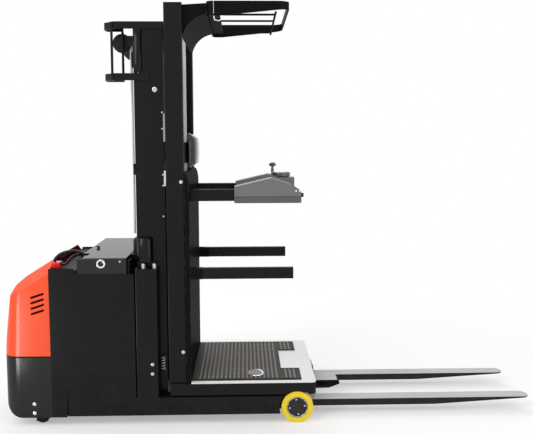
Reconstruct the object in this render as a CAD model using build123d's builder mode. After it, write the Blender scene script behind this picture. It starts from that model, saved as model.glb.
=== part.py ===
from build123d import *
import math
import os

os.makedirs("parts", exist_ok=True)

# Order picker truck in millimetres. +X runs towards the fork tips, +Z is up and
# Y = 0 is the plane of symmetry. The origin is on the floor under the middle of the box.
# Left is +Y, the left hand of an operator who faces the forks.

# Overall sizes
rear_x = -1490.0
fork_tip_x = 1490.0
half_width = 440.0
running_gap = 6.0
sheet = 6.0

# Base legs and load wheels
leg_rear_x = -1135.0
leg_inner = half_width - 100
leg_bottom = 55.0
leg_top = 155.0
load_axle_x = 125.0
load_wheel_d = 178.0
load_wheel_width = 70.0
load_hub_d = 118.0
load_axle_d = 36.0
load_boss_d = 48.0
load_edge_r = 6.0
arch_gap = 11.0
cheek_thickness = 18.0
cheek_r = 44.0
fit_gap = 0.05

# Rear shell, hood and drive unit
shell_front_x = -1225.0
skirt_z = 50.0
shell_split_z = 388.0
hood_gap = 6.0
shell_corner_r = 95.0
skirt_corner_r = 110.0
shell_wall = 6.0
hood_top_front_z = 912.0
hood_rear_lean = 38.0
hood_rear_top_z = 770.0
hood_top_rear_z = 814.0
hood_top_rear_x = -1400.0
hood_corner_r = 45.0
hood_crown_r = 60.0
hood_facet_drop = 62.0
hood_facet_width = 140.0
vent_count = 4
vent_length = 78.0
vent_height = 11.0
vent_pitch = 30.0
vent_tilt = 18.0
vent_x = -1289.0
vent_top_z = 730.0
drive_x = -1280.0
drive_wheel_d = 230.0
drive_wheel_width = 75.0
drive_plate_z = 300.0
drive_plate_thickness = 14.0
turntable_d = 200.0
drive_motor_d = 170.0
drive_motor_top = 590.0
drive_axle_d = 44.0
yoke_half = 60.0
yoke_flank_y = (44.0, 84.0)

# Stabiliser castors
castor_x = -1276.0
castor_y = half_width - 72
castor_wheel_d = 75.0
castor_wheel_width = 32.0
castor_trail = 18.0
castor_axle_d = 12.0
castor_post_d = 52.0
castor_cover_d = 48.0
castor_plate_z = 118.0
castor_flank_z = 12.0
castor_flank_length = 64.0

# Battery compartment
box_front_x = -765.0
box_top_z = 877.0
lid_rear_x = -1070.0
lid_front_x = -804.0
lid_top_z = 934.0
lid_side_z = 847.0
lid_end_z = 872.0
battery_top_z = 850.0
battery_rear_x = -1066.0
battery_front_x = -806.0
bulkhead_x = -1085.0
cowl_z = 868.0
floor_z = 60.0
floor_thickness = 16.0
lid_hinge_x = -796.5
lid_hinge_z = 926.0
lid_pin_d = 6.0
lid_knuckle_r = 6.5
lid_knuckle_half = 24.0
lid_edge_r = 8.0
lid_notch_front_x = -1032.0
lid_notch_y = (-half_width + 104, -half_width + 188)
lead_d = 16.0
connector_rear_x = -1222.0
connector_front_x = -1178.0
connector_y = (-half_width + 66, -half_width + 134)
connector_height = 34.0

# Mast
mast_rear_x = -755.0
mast_front_x = -596.0
mast_outer = half_width - 80
mast_web = 12.0
mast_flange = 14.0
mast_flange_tip = mast_outer - 70
mast_top_z = 2180.0
mast_ties = ((leg_top, 240.0), (1380.0, 1440.0), (1960.0, 2040.0))
mast_tie = 12.0
inner_rail_outer = mast_outer - 19
inner_rail_inner = mast_outer - 110
inner_web_mid = mast_outer - 54
inner_ties = ((165.0, 235.0), (1100.0, 1160.0))
inner_tie = 18.0
crosshead_front_x = -640.0
inner_web = 12.0
inner_flange = 13.0
inner_top_z = 2170.0
inner_bottom_z = 165.0
crosshead_z = 2090.0
crosshead_height = 60.0
foot_rear_x = -761.0
foot_front_x = -640.0
foot_top_z = 870.0
foot_wall = 12.0
foot_corner_r = 10.0
brace_bottom_z = 919.0
brace_top_z = 1024.0
brace_rear_x = -778.0
brace_front_x = -681.0
brace_corner_r = 38.0
lift_cylinder_x = -668.0
lift_cylinder_y = 150.0
barrel_r = 32.0
barrel_top_z = 1640.0
rod_r = 20.0
rod_gap = 0.3
gland_r = 36.0
gland_height = 40.0

# Hose guard behind the top of the right rail
guard_strap = 8.0
cage_rear_x = -916.0
cage_corner = 60.0
cage_inner = mast_outer - 120
cage_return_x = -822.0
cage_top_z = 2200.0
cage_strap_height = 38.0
cage_low_front_x = -672.0
cage_low_z = 1889.0
cage_bar_d = 14.0
pulley_x = -838.0
pulley_z = 2105.0
pulley_d = 104.0
pulley_y = cage_inner - 50
pulley_width = 28.0
pulley_pin_d = 18.0
pulley_groove = 10.0

# Cab
post_rear_x = -585.0
post_front_x = -488.0
post_outer = half_width - 16
post_inner = post_outer - 52
post_wall = 5.0
post_corner_r = 8.0
carriage_x = -589.0
carriage_bottom_z = 200.0
carriage_top_z = 600.0
carriage_rear_x = -708.0
roller_heights = (260.0, 540.0)
roller_pin_d = 28.0
housing_front_x = -461.0
housing_top_z = 1397.0
housing_corner = 80.0
housing_wall = 5.0
deck_rear_x = -575.0
deck_front_x = 230.0
deck_bottom_z = 165.0
deck_top_z = 235.0
deck_plate = 5.0
deck_sheet = 12.0
deck_wall = 12.0
deck_beam_x = -195.0
deck_corner_r = 28.0
mat_rear_x = -447.0
mat_front_x = 151.0
mat_half = half_width - 48
mat_notch_x = 45.0
mat_notch_half = 195.0
mat_thickness = 4.0
switch_x = -102.0
switch_y = 153.0 - half_width
switch_length = 100.0
switch_width = 138.0
switch_height = 8.0

# Overhead guard
roof_top_z = 2300.0
roof_rear_x = -360.0
roof_front_x = 84.0
roof_half = half_width - 25
roof_band = 8.0
roof_rear_depth = 78.0
roof_front_depth = 40.0
roof_rear_r = 35.0
roof_front_r = 60.0
roof_bar_z = roof_top_z - 59
roof_bar_d = 12.0
roof_bar_x = (-298.0, 10.0)
roof_bar_y = (120.0, half_width - 105)
post_top_z = roof_top_z - 9
gusset_bottom_z = roof_top_z - 192
gusset_top_z = roof_top_z - 64
gusset_mid = (-438.0, roof_top_z - 100)
gusset_inner = post_inner
gusset_thickness = 8.0
head_sheet = 5.0

# Consoles, side gates and back cushion
beam_bottom_z = 1233.0
beam_top_z = 1297.0
beam_inner = half_width - 142
beam_outer = half_width - 94
console_rear_x = -218.0
console_front_x = 152.0
console_inner = half_width - 205
console_outer = half_width - 80
console_bottom_z = 1221.0
console_rear_z = 1312.0
console_edge_r = 4.0
console_ridge_x = -14.0
console_ridge_z = 1359.0
wheel_seat_rear_x = 54.0
wheel_seat_z = 1336.0
wheel_x = 67.0
wheel_d = 124.0
wheel_bottom_z = 1355.0
wheel_thickness = 11.0
spinner_top_z = 1428.0
spinner_d = 44.0
knob_y = half_width - 140
knob_z = 1262.0
knob_d = 24.0
knob_length = 16.0
gate_pivot_x = -418.0
gate_end_x = 103.0
gate_mid_z = 843.0
gate_height = 60.0
gate_outer = post_outer + 4
gate_inner = gate_outer - 36
gate_pin_d = 16.0
cushion_bottom_z = 1400.0
cushion_top_z = 1617.0
cushion_back_x = -492.0
cushion_front_x = -444.0
cushion_half = 190.0
cushion_corner_r = 40.0
cushion_edge_r = 28.0

# Forks and pallet clamp
fork_mid = 230.0
fork_width = 100.0
fork_top_z = 80.0
fork_thickness = 38.0
fork_tip_thickness = 6.0
fork_tip_r = 45.0
fork_taper_x = 930.0
fork_rear_x = -100.0
heel_front_x = 190.0
clamp_front_x = 408.0
clamp_top_z = 120.0
clamp_bottom_z = 70.0
clamp_half = 55.0

sides = (("left", 1), ("right", -1))


def save(builder, name):
    builder.part.label = name
    export_step(builder.part, f"parts/{name}.step")


def upright(y):
    """Plane whose sketch reads (X, Z), extruded towards -Y from y."""
    return Plane(origin=(0, y, 0), x_dir=(1, 0, 0), z_dir=(0, -1, 0))


def block(x_range, y_range, z_range, mode=Mode.ADD):
    """Box between pairs of coordinates, in whichever order each pair comes."""
    low = [min(pair) for pair in (x_range, y_range, z_range)]
    high = [max(pair) for pair in (x_range, y_range, z_range)]
    with Locations(tuple((low[i] + high[i]) / 2 for i in range(3))):
        Box(*[high[i] - low[i] for i in range(3)], mode=mode)


def rod_along_y(x, z, radius, y_range, mode=Mode.ADD):
    low, high = min(y_range), max(y_range)
    with BuildSketch(upright(high)) as section:
        with Locations((x, z)):
            Circle(radius)
    extrude(section.sketch, amount=high - low, mode=mode)


def rod_along_z(x, y, radius, z_range, mode=Mode.ADD):
    with BuildSketch(Plane.XY.offset(z_range[0])) as section:
        with Locations((x, y)):
            Circle(radius)
    extrude(section.sketch, amount=z_range[1] - z_range[0], mode=mode)


# Base legs

load_axle_z = load_wheel_d / 2
arch_r = load_wheel_d / 2 + arch_gap
wheel_outer = half_width - 4.0
wheel_inner = wheel_outer - load_wheel_width


def base_leg(name, side):
    cheek = side * (leg_inner + cheek_thickness)
    with BuildPart() as leg:
        leg_y = (side * leg_inner, side * half_width)
        block((leg_rear_x, load_axle_x - 30), leg_y, (leg_bottom, leg_top))
        rod_along_y(load_axle_x, load_axle_z, arch_r, (cheek, side * (half_width + 1)), Mode.SUBTRACT)
        cheek_y = (side * leg_inner, cheek)
        block((load_axle_x - 60, load_axle_x), cheek_y, (load_axle_z - cheek_r, load_axle_z + cheek_r))
        rod_along_y(load_axle_x, load_axle_z, cheek_r, cheek_y)
        rod_along_y(load_axle_x, load_axle_z, load_axle_d / 2, (side * leg_inner, side * (wheel_outer - 12)))
    save(leg, f"base_leg_{name}")


for name, side in sides:
    base_leg(name, side)


# Load wheels: a tyre ring and a hub that turns on the leg's stub axle

def load_wheel(name, side):
    outer, inner = side * wheel_outer, side * wheel_inner
    with BuildPart() as tyre:
        rod_along_y(load_axle_x, load_axle_z, load_wheel_d / 2, (inner, outer))
        rims = tyre.edges().filter_by(GeomType.CIRCLE)
        fillet(rims, radius=load_edge_r)
        rod_along_y(load_axle_x, load_axle_z, load_hub_d / 2, (inner, outer), Mode.SUBTRACT)
    save(tyre, f"load_tyre_{name}")
    with BuildPart() as hub:
        rod_along_y(load_axle_x, load_axle_z, load_hub_d / 2, (inner, side * (wheel_outer - 3)))
        dish = (side * (wheel_outer - 9), outer)
        rod_along_y(load_axle_x, load_axle_z, load_hub_d / 2 - 10, dish, Mode.SUBTRACT)
        boss = (side * (wheel_outer - 30), side * (wheel_outer - 2))
        rod_along_y(load_axle_x, load_axle_z, load_boss_d / 2, boss)
        bore = (inner, side * (wheel_outer - 10))
        rod_along_y(load_axle_x, load_axle_z, load_axle_d / 2 + fit_gap, bore, Mode.SUBTRACT)
    save(hub, f"load_hub_{name}")


for name, side in sides:
    load_wheel(name, side)


# Chassis frame: floor, bulkhead behind the battery, wall before the mast, front beam,
# and behind the bulkhead the plate that carries the drive unit and the castor posts

hinge_places = (180 - half_width, 0, half_width - 180)
wall_thickness = 12.0
hinge_wall = 6.0
wide = (-half_width + sheet, half_width - sheet)

with BuildPart() as chassis_frame:
    block((bulkhead_x, box_front_x - 20), (-leg_inner, leg_inner), (floor_z, floor_z + floor_thickness))
    block((box_front_x - 25, mast_front_x - 4), (-leg_inner, leg_inner), (floor_z, leg_top))
    block((bulkhead_x, bulkhead_x + wall_thickness), (-leg_inner, leg_inner), (floor_z, leg_top))
    block((bulkhead_x, bulkhead_x + wall_thickness), wide, (leg_top, cowl_z - sheet))
    block((lid_hinge_x, lid_hinge_x + hinge_wall), wide, (leg_top, lid_hinge_z - 8))
    block((lid_hinge_x, lid_hinge_x + hinge_wall), (-leg_inner, leg_inner), (floor_z, leg_top))
    for y in hinge_places:
        lug_y = (y + lid_knuckle_half + 2, y + 2 * lid_knuckle_half + 2)
        block((lid_hinge_x, lid_hinge_x + hinge_wall), lug_y, (lid_hinge_z - 10, lid_hinge_z))
        rod_along_y(lid_hinge_x, lid_hinge_z, lid_knuckle_r, lug_y)
        pin_y = (y - lid_knuckle_half - 2, y + lid_knuckle_half + 6)
        rod_along_y(lid_hinge_x, lid_hinge_z, lid_pin_d / 2, pin_y)
    block(
        (drive_x - 110, bulkhead_x + 6),
        (-castor_y - 40, castor_y + 40),
        (drive_plate_z, drive_plate_z + drive_plate_thickness),
    )
    rod_along_z(drive_x, 0, drive_motor_d / 2 + 6, (drive_plate_z - 1, drive_plate_z + 20), Mode.SUBTRACT)
    for side in (1, -1):
        post_z = (castor_plate_z, drive_plate_z + 5)
        rod_along_z(castor_x, side * castor_y, castor_post_d / 2, post_z)
save(chassis_frame, "chassis_frame")


# Rear shell: the skirt below and the hood above share one plan

def shell_solid(inset, profile, z_low, z_high):
    """Side profile run across the width, kept inside the plan with round corners."""
    half = half_width - inset
    radius = shell_corner_r - inset
    with BuildPart() as solid:
        with BuildSketch(upright(half)):
            with BuildLine():
                profile()
            make_face()
        extrude(amount=2 * half)
        with BuildSketch(Plane.XY.offset(z_low)) as plan:
            with Locations(((rear_x + inset + shell_front_x + 1) / 2, 0)):
                Rectangle(shell_front_x + 1 - rear_x - inset, 2 * half)
            rear_corners = plan.vertices().group_by(Axis.X)[0]
            fillet(rear_corners, radius=radius)
        extrude(amount=z_high - z_low, mode=Mode.INTERSECT)
    return solid.part


def skirt_profile(inset, drop):
    back = rear_x + inset
    low = skirt_z - drop
    radius = skirt_corner_r - inset
    Polyline((back, low + radius), (back, shell_split_z + drop), (shell_front_x + drop, shell_split_z + drop))
    Line((shell_front_x + drop, shell_split_z + drop), (shell_front_x + drop, low))
    Line((shell_front_x + drop, low), (back + radius, low))
    JernArc((back + radius, low), (-1, 0), radius, -90)


skirt_outer = shell_solid(0, lambda: skirt_profile(0, 0), 0, 1000)
skirt_inner = shell_solid(shell_wall, lambda: skirt_profile(shell_wall, 0.5), 0, 1000)
with BuildPart() as lower_shell:
    add(skirt_outer)
    add(skirt_inner, mode=Mode.SUBTRACT)
save(lower_shell, "lower_shell")


def hood_profile(inset, drop):
    back = rear_x + inset
    low = shell_split_z + hood_gap - drop
    front = shell_front_x + drop
    slope = (hood_top_front_z - hood_top_rear_z) / (shell_front_x - hood_top_rear_x)
    top_front = hood_top_front_z - inset + slope * drop
    FilletPolyline(
        (front, low),
        (back, low),
        (back + hood_rear_lean, hood_rear_top_z - inset / 2),
        (hood_top_rear_x + inset / 2, hood_top_rear_z - inset),
        (front, top_front),
        radius=(2, hood_corner_r, hood_crown_r),
    )
    Line((front, top_front), (front, low))


def hood_solid(inset, drop):
    """Hood with a sloping facet cut along each top edge."""
    run = hood_top_rear_x - shell_front_x
    rise = hood_top_rear_z - hood_top_front_z
    slope = rise / run
    length = math.hypot(run, rise) * 2.2
    half = half_width - inset
    top = hood_top_front_z - inset + slope * 5
    with BuildPart() as solid:
        add(shell_solid(inset, lambda: hood_profile(inset, drop), 0, 1000))
        with BuildSketch(Plane(origin=(shell_front_x + 5, 0, 0), x_dir=(0, 1, 0), z_dir=(1, 0, 0))):
            for side in (1, -1):
                with BuildLine():
                    Polyline(
                        (side * (half - hood_facet_width), top),
                        (side * (half + 20), top - hood_facet_drop * (1 + 20 / hood_facet_width)),
                        (side * (half + 20), top + 60),
                        (side * (half - hood_facet_width), top + 60),
                        close=True,
                    )
                make_face()
        extrude(amount=length, dir=(run, 0, rise), mode=Mode.SUBTRACT)
    return solid.part


with BuildPart() as drive_hood:
    add(hood_solid(0, 0))
    add(hood_solid(shell_wall - 1, 0.5), mode=Mode.SUBTRACT)
    for side in (1, -1):
        with BuildSketch(upright(side * half_width + 10)):
            with Locations([(vent_x, vent_top_z - i * vent_pitch) for i in range(vent_count)]):
                SlotOverall(vent_length, vent_height, rotation=vent_tilt)
        extrude(amount=20, mode=Mode.SUBTRACT)
save(drive_hood, "drive_hood")


# Drive unit, steered about a vertical axis

drive_axle_z = drive_wheel_d / 2

with BuildPart() as drive_yoke:
    rod_along_z(drive_x, 0, turntable_d / 2, (drive_plate_z - 26, drive_plate_z - 0.3))
    yoke_x = (drive_x - yoke_half, drive_x + yoke_half)
    block(yoke_x, yoke_flank_y, (drive_axle_z, drive_plate_z - 26))
    rod_along_y(drive_x, drive_axle_z, yoke_half, yoke_flank_y)
    block(yoke_x, (-yoke_half, yoke_flank_y[1]), (drive_wheel_d + 12, drive_plate_z - 26))
    rod_along_y(drive_x, drive_axle_z, drive_axle_d / 2, (-34, yoke_flank_y[1]))
save(drive_yoke, "drive_yoke")

with BuildPart() as drive_motor:
    rod_along_z(drive_x, 0, drive_motor_d / 2, (drive_plate_z - 0.3, drive_motor_top))
    fillet(drive_motor.edges().filter_by(GeomType.CIRCLE).group_by(Axis.Z)[-1], radius=12)
save(drive_motor, "drive_motor")

with BuildPart() as drive_tyre:
    rod_along_y(drive_x, drive_axle_z, drive_wheel_d / 2, (-drive_wheel_width / 2, drive_wheel_width / 2))
    fillet(drive_tyre.edges().filter_by(GeomType.CIRCLE), radius=5)
    bore = (-drive_wheel_width, drive_wheel_width)
    rod_along_y(drive_x, drive_axle_z, drive_axle_d / 2 + fit_gap, bore, Mode.SUBTRACT)
save(drive_tyre, "drive_tyre")


# Stabiliser castors

castor_axle_z = castor_wheel_d / 2


def castor(name, side):
    y = side * castor_y
    wheel_x = castor_x - castor_trail
    half = castor_wheel_width / 2
    with BuildPart() as fork:
        rod_along_z(castor_x, y, castor_cover_d / 2, (castor_plate_z - 14, castor_plate_z - 0.3))
        for flank in (1, -1):
            inner, outer = y + flank * (half + 2), y + flank * (half + 6)
            flank_x = (wheel_x - castor_flank_length / 2, wheel_x + castor_flank_length / 2)
            block(flank_x, (inner, outer), (castor_flank_z, castor_plate_z - 10))
        block(flank_x, (y - half - 6, y + half + 6), (castor_plate_z - 24, castor_plate_z - 10))
        rod_along_y(wheel_x, castor_axle_z, castor_axle_d / 2, (y - half - 6, y + half + 6))
    save(fork, f"castor_fork_{name}")
    with BuildPart() as wheel:
        rod_along_y(wheel_x, castor_axle_z, castor_wheel_d / 2, (y - half, y + half))
        fillet(wheel.edges().filter_by(GeomType.CIRCLE), radius=4)
        bore = (y - half - 1, y + half + 1)
        rod_along_y(wheel_x, castor_axle_z, castor_axle_d / 2 + fit_gap, bore, Mode.SUBTRACT)
    save(wheel, f"castor_wheel_{name}")


for name, side in sides:
    castor(name, side)


# Battery compartment

with BuildPart() as box_panels:
    for y in (half_width, sheet - half_width):
        with BuildSketch(upright(y)):
            with BuildLine():
                Polyline(
                    (shell_front_x, skirt_z),
                    (leg_rear_x - 8, skirt_z),
                    (leg_rear_x - 8, leg_top),
                    (box_front_x, leg_top),
                    (box_front_x, lid_side_z - 2),
                    (lid_rear_x - 4, lid_side_z - 2),
                    (lid_rear_x - 22, box_top_z),
                    (shell_front_x, box_top_z),
                    close=True,
                )
            make_face()
        extrude(amount=sheet)
    block(
        (shell_front_x, lid_rear_x - 10),
        (-half_width + sheet / 2, half_width - sheet / 2),
        (cowl_z - sheet, cowl_z),
    )
save(box_panels, "box_panels")

with BuildPart() as battery:
    block(
        (battery_rear_x, battery_front_x),
        (-half_width + 14, half_width - 14),
        (leg_top, battery_top_z),
    )
save(battery, "battery")

with BuildPart() as battery_lid:
    block((lid_rear_x, lid_front_x), (-half_width, half_width), (lid_side_z, lid_top_z))
    fillet(battery_lid.edges().filter_by(Axis.X).group_by(Axis.Z)[-1], radius=lid_edge_r)
    block(
        (lid_rear_x + sheet, lid_front_x - sheet),
        (-half_width + sheet, half_width - sheet),
        (lid_side_z, lid_top_z - sheet),
        Mode.SUBTRACT,
    )
    block(
        (lid_rear_x - 1, lid_front_x + 1),
        (-half_width + sheet, half_width - sheet),
        (lid_side_z, lid_end_z),
        Mode.SUBTRACT,
    )
    block((lid_rear_x - 1, lid_notch_front_x), lid_notch_y, (lid_side_z, lid_top_z + 1), Mode.SUBTRACT)
    for y in hinge_places:
        knuckle_y = (y - lid_knuckle_half, y + lid_knuckle_half)
        rod_along_y(lid_hinge_x, lid_hinge_z, lid_knuckle_r, knuckle_y)
        block((lid_front_x - 2, lid_hinge_x), knuckle_y, (lid_hinge_z - 4, lid_hinge_z + 3))
        bore = (knuckle_y[0] - 3, knuckle_y[1] + 3)
        rod_along_y(lid_hinge_x, lid_hinge_z, lid_pin_d / 2 + fit_gap, bore, Mode.SUBTRACT)
save(battery_lid, "battery_lid")

# Battery leads: two cables that rise from the connector and go down through the lid's notch

lead_z = cowl_z + connector_height / 2
rear_lead_y = connector_y[0] + 20
front_lead_y = connector_y[1] - 16
rear_drop_y = lid_notch_y[0] + 32
front_drop_y = lid_notch_y[1] - 28
lead_drop_x = lid_notch_front_x - 16
lead_routes = (
    (
        (connector_rear_x + 14, rear_lead_y, cowl_z + connector_height),
        (connector_rear_x + 14, rear_lead_y, 918),
        (-1178, rear_lead_y + 2, 948),
        (-1116, rear_lead_y + 14, 964),
        (-1066, rear_drop_y - 10, 948),
        (lead_drop_x, rear_drop_y, 908),
        (lead_drop_x, rear_drop_y, battery_top_z),
    ),
    (
        (connector_front_x, front_lead_y, lead_z),
        (-1156, front_lead_y, lead_z),
        (-1128, front_lead_y + 8, 922),
        (-1090, front_lead_y + 20, 938),
        (-1060, front_drop_y - 6, 922),
        (lead_drop_x, front_drop_y, 890),
        (lead_drop_x, front_drop_y, battery_top_z),
    ),
)


def tangent_radii(points, largest):
    """For each corner 0.45 of the shorter run over the tangent of half the turn."""
    radii = []
    for before, corner, after in zip(points, points[1:], points[2:]):
        run_in = Vector(*corner) - Vector(*before)
        run_out = Vector(*after) - Vector(*corner)
        half_turn = math.radians(run_in.get_angle(run_out)) / 2
        radii.append(min(0.45 * min(run_in.length, run_out.length) / math.tan(half_turn), largest))
    return radii


with BuildPart() as battery_leads:
    for route in lead_routes:
        with BuildLine() as path:
            FilletPolyline(*route, radius=tangent_radii(route, 4000))
        with BuildSketch(Plane(origin=path.line @ 0, z_dir=path.line % 0)):
            Circle(lead_d / 2)
        sweep(path=path.line)
save(battery_leads, "battery_leads")

with BuildPart() as battery_connector:
    block(
        (connector_rear_x, connector_front_x),
        connector_y,
        (cowl_z, cowl_z + connector_height),
    )
    fillet(battery_connector.edges().filter_by(Axis.X), radius=6)
save(battery_connector, "battery_connector")


# Outer mast

def channel(x_range, web_range, tip, flange, z_range):
    """Channel section: web between web_range, flanges out to tip."""
    with BuildSketch(Plane.XY.offset(z_range[0])) as section:
        rear, front = x_range
        web_far, web_near = web_range
        with BuildLine():
            Polyline(
                (rear, tip),
                (rear, web_far),
                (front, web_far),
                (front, tip),
                (front - flange, tip),
                (front - flange, web_near),
                (rear + flange, web_near),
                (rear + flange, tip),
                close=True,
            )
        make_face()
    extrude(section.sketch, amount=z_range[1] - z_range[0])


def strap(route, thickness, z_range):
    """Flat bar bent along route in plan, with its thickness on the left of the route."""
    with BuildSketch(Plane.XY.offset(z_range[0])) as section:
        with BuildLine() as line:
            Polyline(*route)
            offset(amount=thickness, side=Side.LEFT)
        make_face()
    extrude(section.sketch, amount=z_range[1] - z_range[0])


with BuildPart() as mast_rails:
    for side in (1, -1):
        channel(
            (mast_rear_x, mast_front_x),
            (side * mast_outer, side * (mast_outer - mast_web)),
            side * mast_flange_tip,
            mast_flange,
            (leg_top, mast_top_z),
        )
    for tie_z in mast_ties:
        block((mast_rear_x - mast_tie, mast_rear_x), (-mast_outer + 4, mast_outer - 4), tie_z)
    with BuildSketch(Plane.XY.offset(brace_bottom_z)) as brace:
        for inset, mode in ((0, Mode.ADD), (foot_wall, Mode.SUBTRACT)):
            half = mast_outer + foot_wall - inset
            back = brace_rear_x + inset
            front = brace_front_x + inset
            with BuildLine():
                FilletPolyline(
                    (front, half),
                    (back, half),
                    (back, -half),
                    (front, -half),
                    radius=brace_corner_r - inset,
                )
                Line((front, -half), (front, half))
            make_face(mode=mode)
    extrude(brace.sketch, amount=brace_top_z - brace_bottom_z)
save(mast_rails, "mast_rails")

with BuildPart() as mast_feet:
    for side in (1, -1):
        inner, outer = side * mast_outer, side * half_width
        block((foot_rear_x, foot_front_x), (inner, outer), (leg_top, foot_top_z))
        corners = mast_feet.edges().filter_by(Axis.Z).group_by(Axis.Y)[-1 if side > 0 else 0]
        fillet(corners, radius=foot_corner_r)
    for side in (1, -1):
        block(
            (foot_rear_x + foot_wall, foot_front_x - foot_wall),
            (side * mast_outer, side * (half_width - foot_wall)),
            (leg_top, foot_top_z - foot_wall),
            Mode.SUBTRACT,
        )
save(mast_feet, "mast_feet")

cage_outer = mast_outer + guard_strap


def cage_strap(front_x, low_z):
    """Strap from the right rail's outer face round behind the mast, ending in a short return."""
    route = (
        (front_x, -cage_outer),
        (cage_rear_x + cage_corner, -cage_outer),
        (cage_rear_x, -cage_outer + cage_corner),
        (cage_rear_x, -cage_inner),
        (cage_return_x, -cage_inner),
    )
    strap(route[::-1], guard_strap, (low_z, low_z + cage_strap_height))


with BuildPart() as hose_cage:
    cage_strap(mast_front_x + 5, cage_top_z - cage_strap_height)
    cage_strap(cage_low_front_x, cage_low_z)
    cage_bars = (
        (cage_rear_x + cage_corner - 12, -cage_outer + guard_strap / 2 + 2),
        (cage_return_x - cage_bar_d / 2, -cage_inner + guard_strap / 2),
    )
    for bar_x, bar_y in cage_bars:
        rod_along_z(bar_x, bar_y, cage_bar_d / 2, (cage_low_z + 2, cage_top_z - 2))
save(hose_cage, "hose_cage")


with BuildPart() as lift_barrels:
    for side in (1, -1):
        y = side * lift_cylinder_y
        rod_along_z(lift_cylinder_x, y, barrel_r, (leg_top, barrel_top_z))
        rod_along_z(lift_cylinder_x, y, gland_r, (barrel_top_z - gland_height, barrel_top_z))
        rod_along_z(lift_cylinder_x, y, rod_r + rod_gap, (leg_top + 10, barrel_top_z + 1), Mode.SUBTRACT)
save(lift_barrels, "lift_barrels")


# Inner mast with the cylinders' rods

inner_rear_x = mast_rear_x + mast_flange + running_gap
inner_front_x = mast_front_x - mast_flange - running_gap
inner_mid_x = (inner_rear_x + inner_front_x) / 2

with BuildPart() as inner_mast:
    for side in (1, -1):
        with BuildSketch(Plane.XY.offset(inner_bottom_z)):
            depth = inner_front_x - inner_rear_x
            with Locations((inner_mid_x, side * (inner_rail_outer + inner_rail_inner) / 2)):
                Rectangle(depth, inner_rail_outer - inner_rail_inner)
            for step in (1, -1):
                with Locations((inner_mid_x, side * (inner_web_mid + step * (inner_web / 2 + 50)))):
                    Rectangle(depth - 2 * inner_flange, 100, mode=Mode.SUBTRACT)
        extrude(amount=inner_top_z - inner_bottom_z)
        rod_along_z(lift_cylinder_x, side * lift_cylinder_y, rod_r, (leg_top + 12, crosshead_z + 1))
    span = (-inner_rail_inner - 1, inner_rail_inner + 1)
    block((inner_rear_x, crosshead_front_x), span, (crosshead_z, crosshead_z + crosshead_height))
    for tie_z in inner_ties:
        block((inner_rear_x, inner_rear_x + inner_tie), span, tie_z)
save(inner_mast, "inner_mast")

pulley_r = pulley_d / 2
pulley_half = pulley_width / 2
pulley_profile = (
    (0, pulley_half),
    (pulley_r, pulley_half),
    (pulley_r, pulley_half - 6),
    (pulley_r - pulley_groove, 3),
    (pulley_r - pulley_groove, -3),
    (pulley_r, 6 - pulley_half),
    (pulley_r, -pulley_half),
    (0, -pulley_half),
)

with BuildPart() as hose_pulleys:
    for side in (1, -1):
        middle = side * pulley_y
        for step in (1, -1):
            bracket_y = (middle + step * (pulley_half + 4), middle + step * (pulley_half + 10))
            block((pulley_x - 20, inner_rear_x), bracket_y, (pulley_z - 15, pulley_z + 40))
        pin_y = (middle - pulley_half - 12, middle + pulley_half + 12)
        rod_along_y(pulley_x, pulley_z, pulley_pin_d / 2, pin_y)
        wheel_plane = Plane(origin=(pulley_x, middle, pulley_z), x_dir=(0, 0, 1), z_dir=(1, 0, 0))
        with BuildSketch(wheel_plane) as section:
            with BuildLine():
                Polyline(*pulley_profile, close=True)
            make_face()
        revolve(section.sketch, axis=Axis((pulley_x, middle, pulley_z), (0, 1, 0)))
save(hose_pulleys, "hose_pulleys")


# Cab frame

deck_under_z = deck_top_z - deck_plate

with BuildPart() as cab_frame:
    for side in (1, -1):
        block((post_rear_x, post_front_x), (side * post_inner, side * post_outer), (deck_under_z, post_top_z))
    fillet(cab_frame.edges().filter_by(Axis.Z), radius=post_corner_r)
    for side in (1, -1):
        block(
            (post_rear_x + post_wall, post_front_x - post_wall),
            (side * (post_inner + post_wall), side * (post_outer - post_wall)),
            (deck_under_z, post_top_z - post_wall),
            Mode.SUBTRACT,
        )
    span = (-post_inner - 1, post_inner + 1)
    block((post_rear_x + 10, post_rear_x + 50), span, (post_top_z - 60, post_top_z))
    block((cushion_back_x - 8, cushion_back_x), span, (cushion_bottom_z + 40, cushion_top_z - 60))
save(cab_frame, "cab_frame")

roller_r = (inner_front_x - inner_rear_x) / 2 - inner_flange - 0.3

with BuildPart() as cab_carriage:
    block((carriage_x, deck_rear_x), (-post_inner, post_inner), (carriage_bottom_z, carriage_top_z))
    for side in (1, -1):
        plate_y = (side * (inner_rail_inner - 14), side * (inner_rail_inner - 2))
        block((carriage_rear_x, carriage_x), plate_y, (carriage_bottom_z, carriage_top_z))
        for z in roller_heights:
            roller_y = (side * (inner_rail_inner + 3), side * (inner_rail_inner + 43))
            rod_along_y(inner_mid_x, z, roller_r, roller_y)
            pin_y = (side * (inner_rail_inner - 10), side * (inner_rail_inner + 46))
            rod_along_y(inner_mid_x, z, roller_pin_d / 2, pin_y)
save(cab_carriage, "cab_carriage")



def housing_outline(inset):
    """Side view of the housing, whose top front edge is rounded like a quarter ellipse."""
    front = housing_front_x - inset
    top = housing_top_z - inset
    turn_z = housing_top_z - housing_corner
    Polyline((front, turn_z), (front, deck_under_z), (post_front_x, deck_under_z), (post_front_x, top))
    EllipticalCenterArc((post_front_x, turn_z), front - post_front_x, top - turn_z, arc_size=90)


bracket_z = (gate_mid_z - gate_height / 2, gate_mid_z + gate_height / 2)
bracket_mid = (gate_inner + gate_outer) / 2
bracket_half = (gate_outer - gate_inner) / 2 + 8
bracket_reach = 24.0

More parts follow.
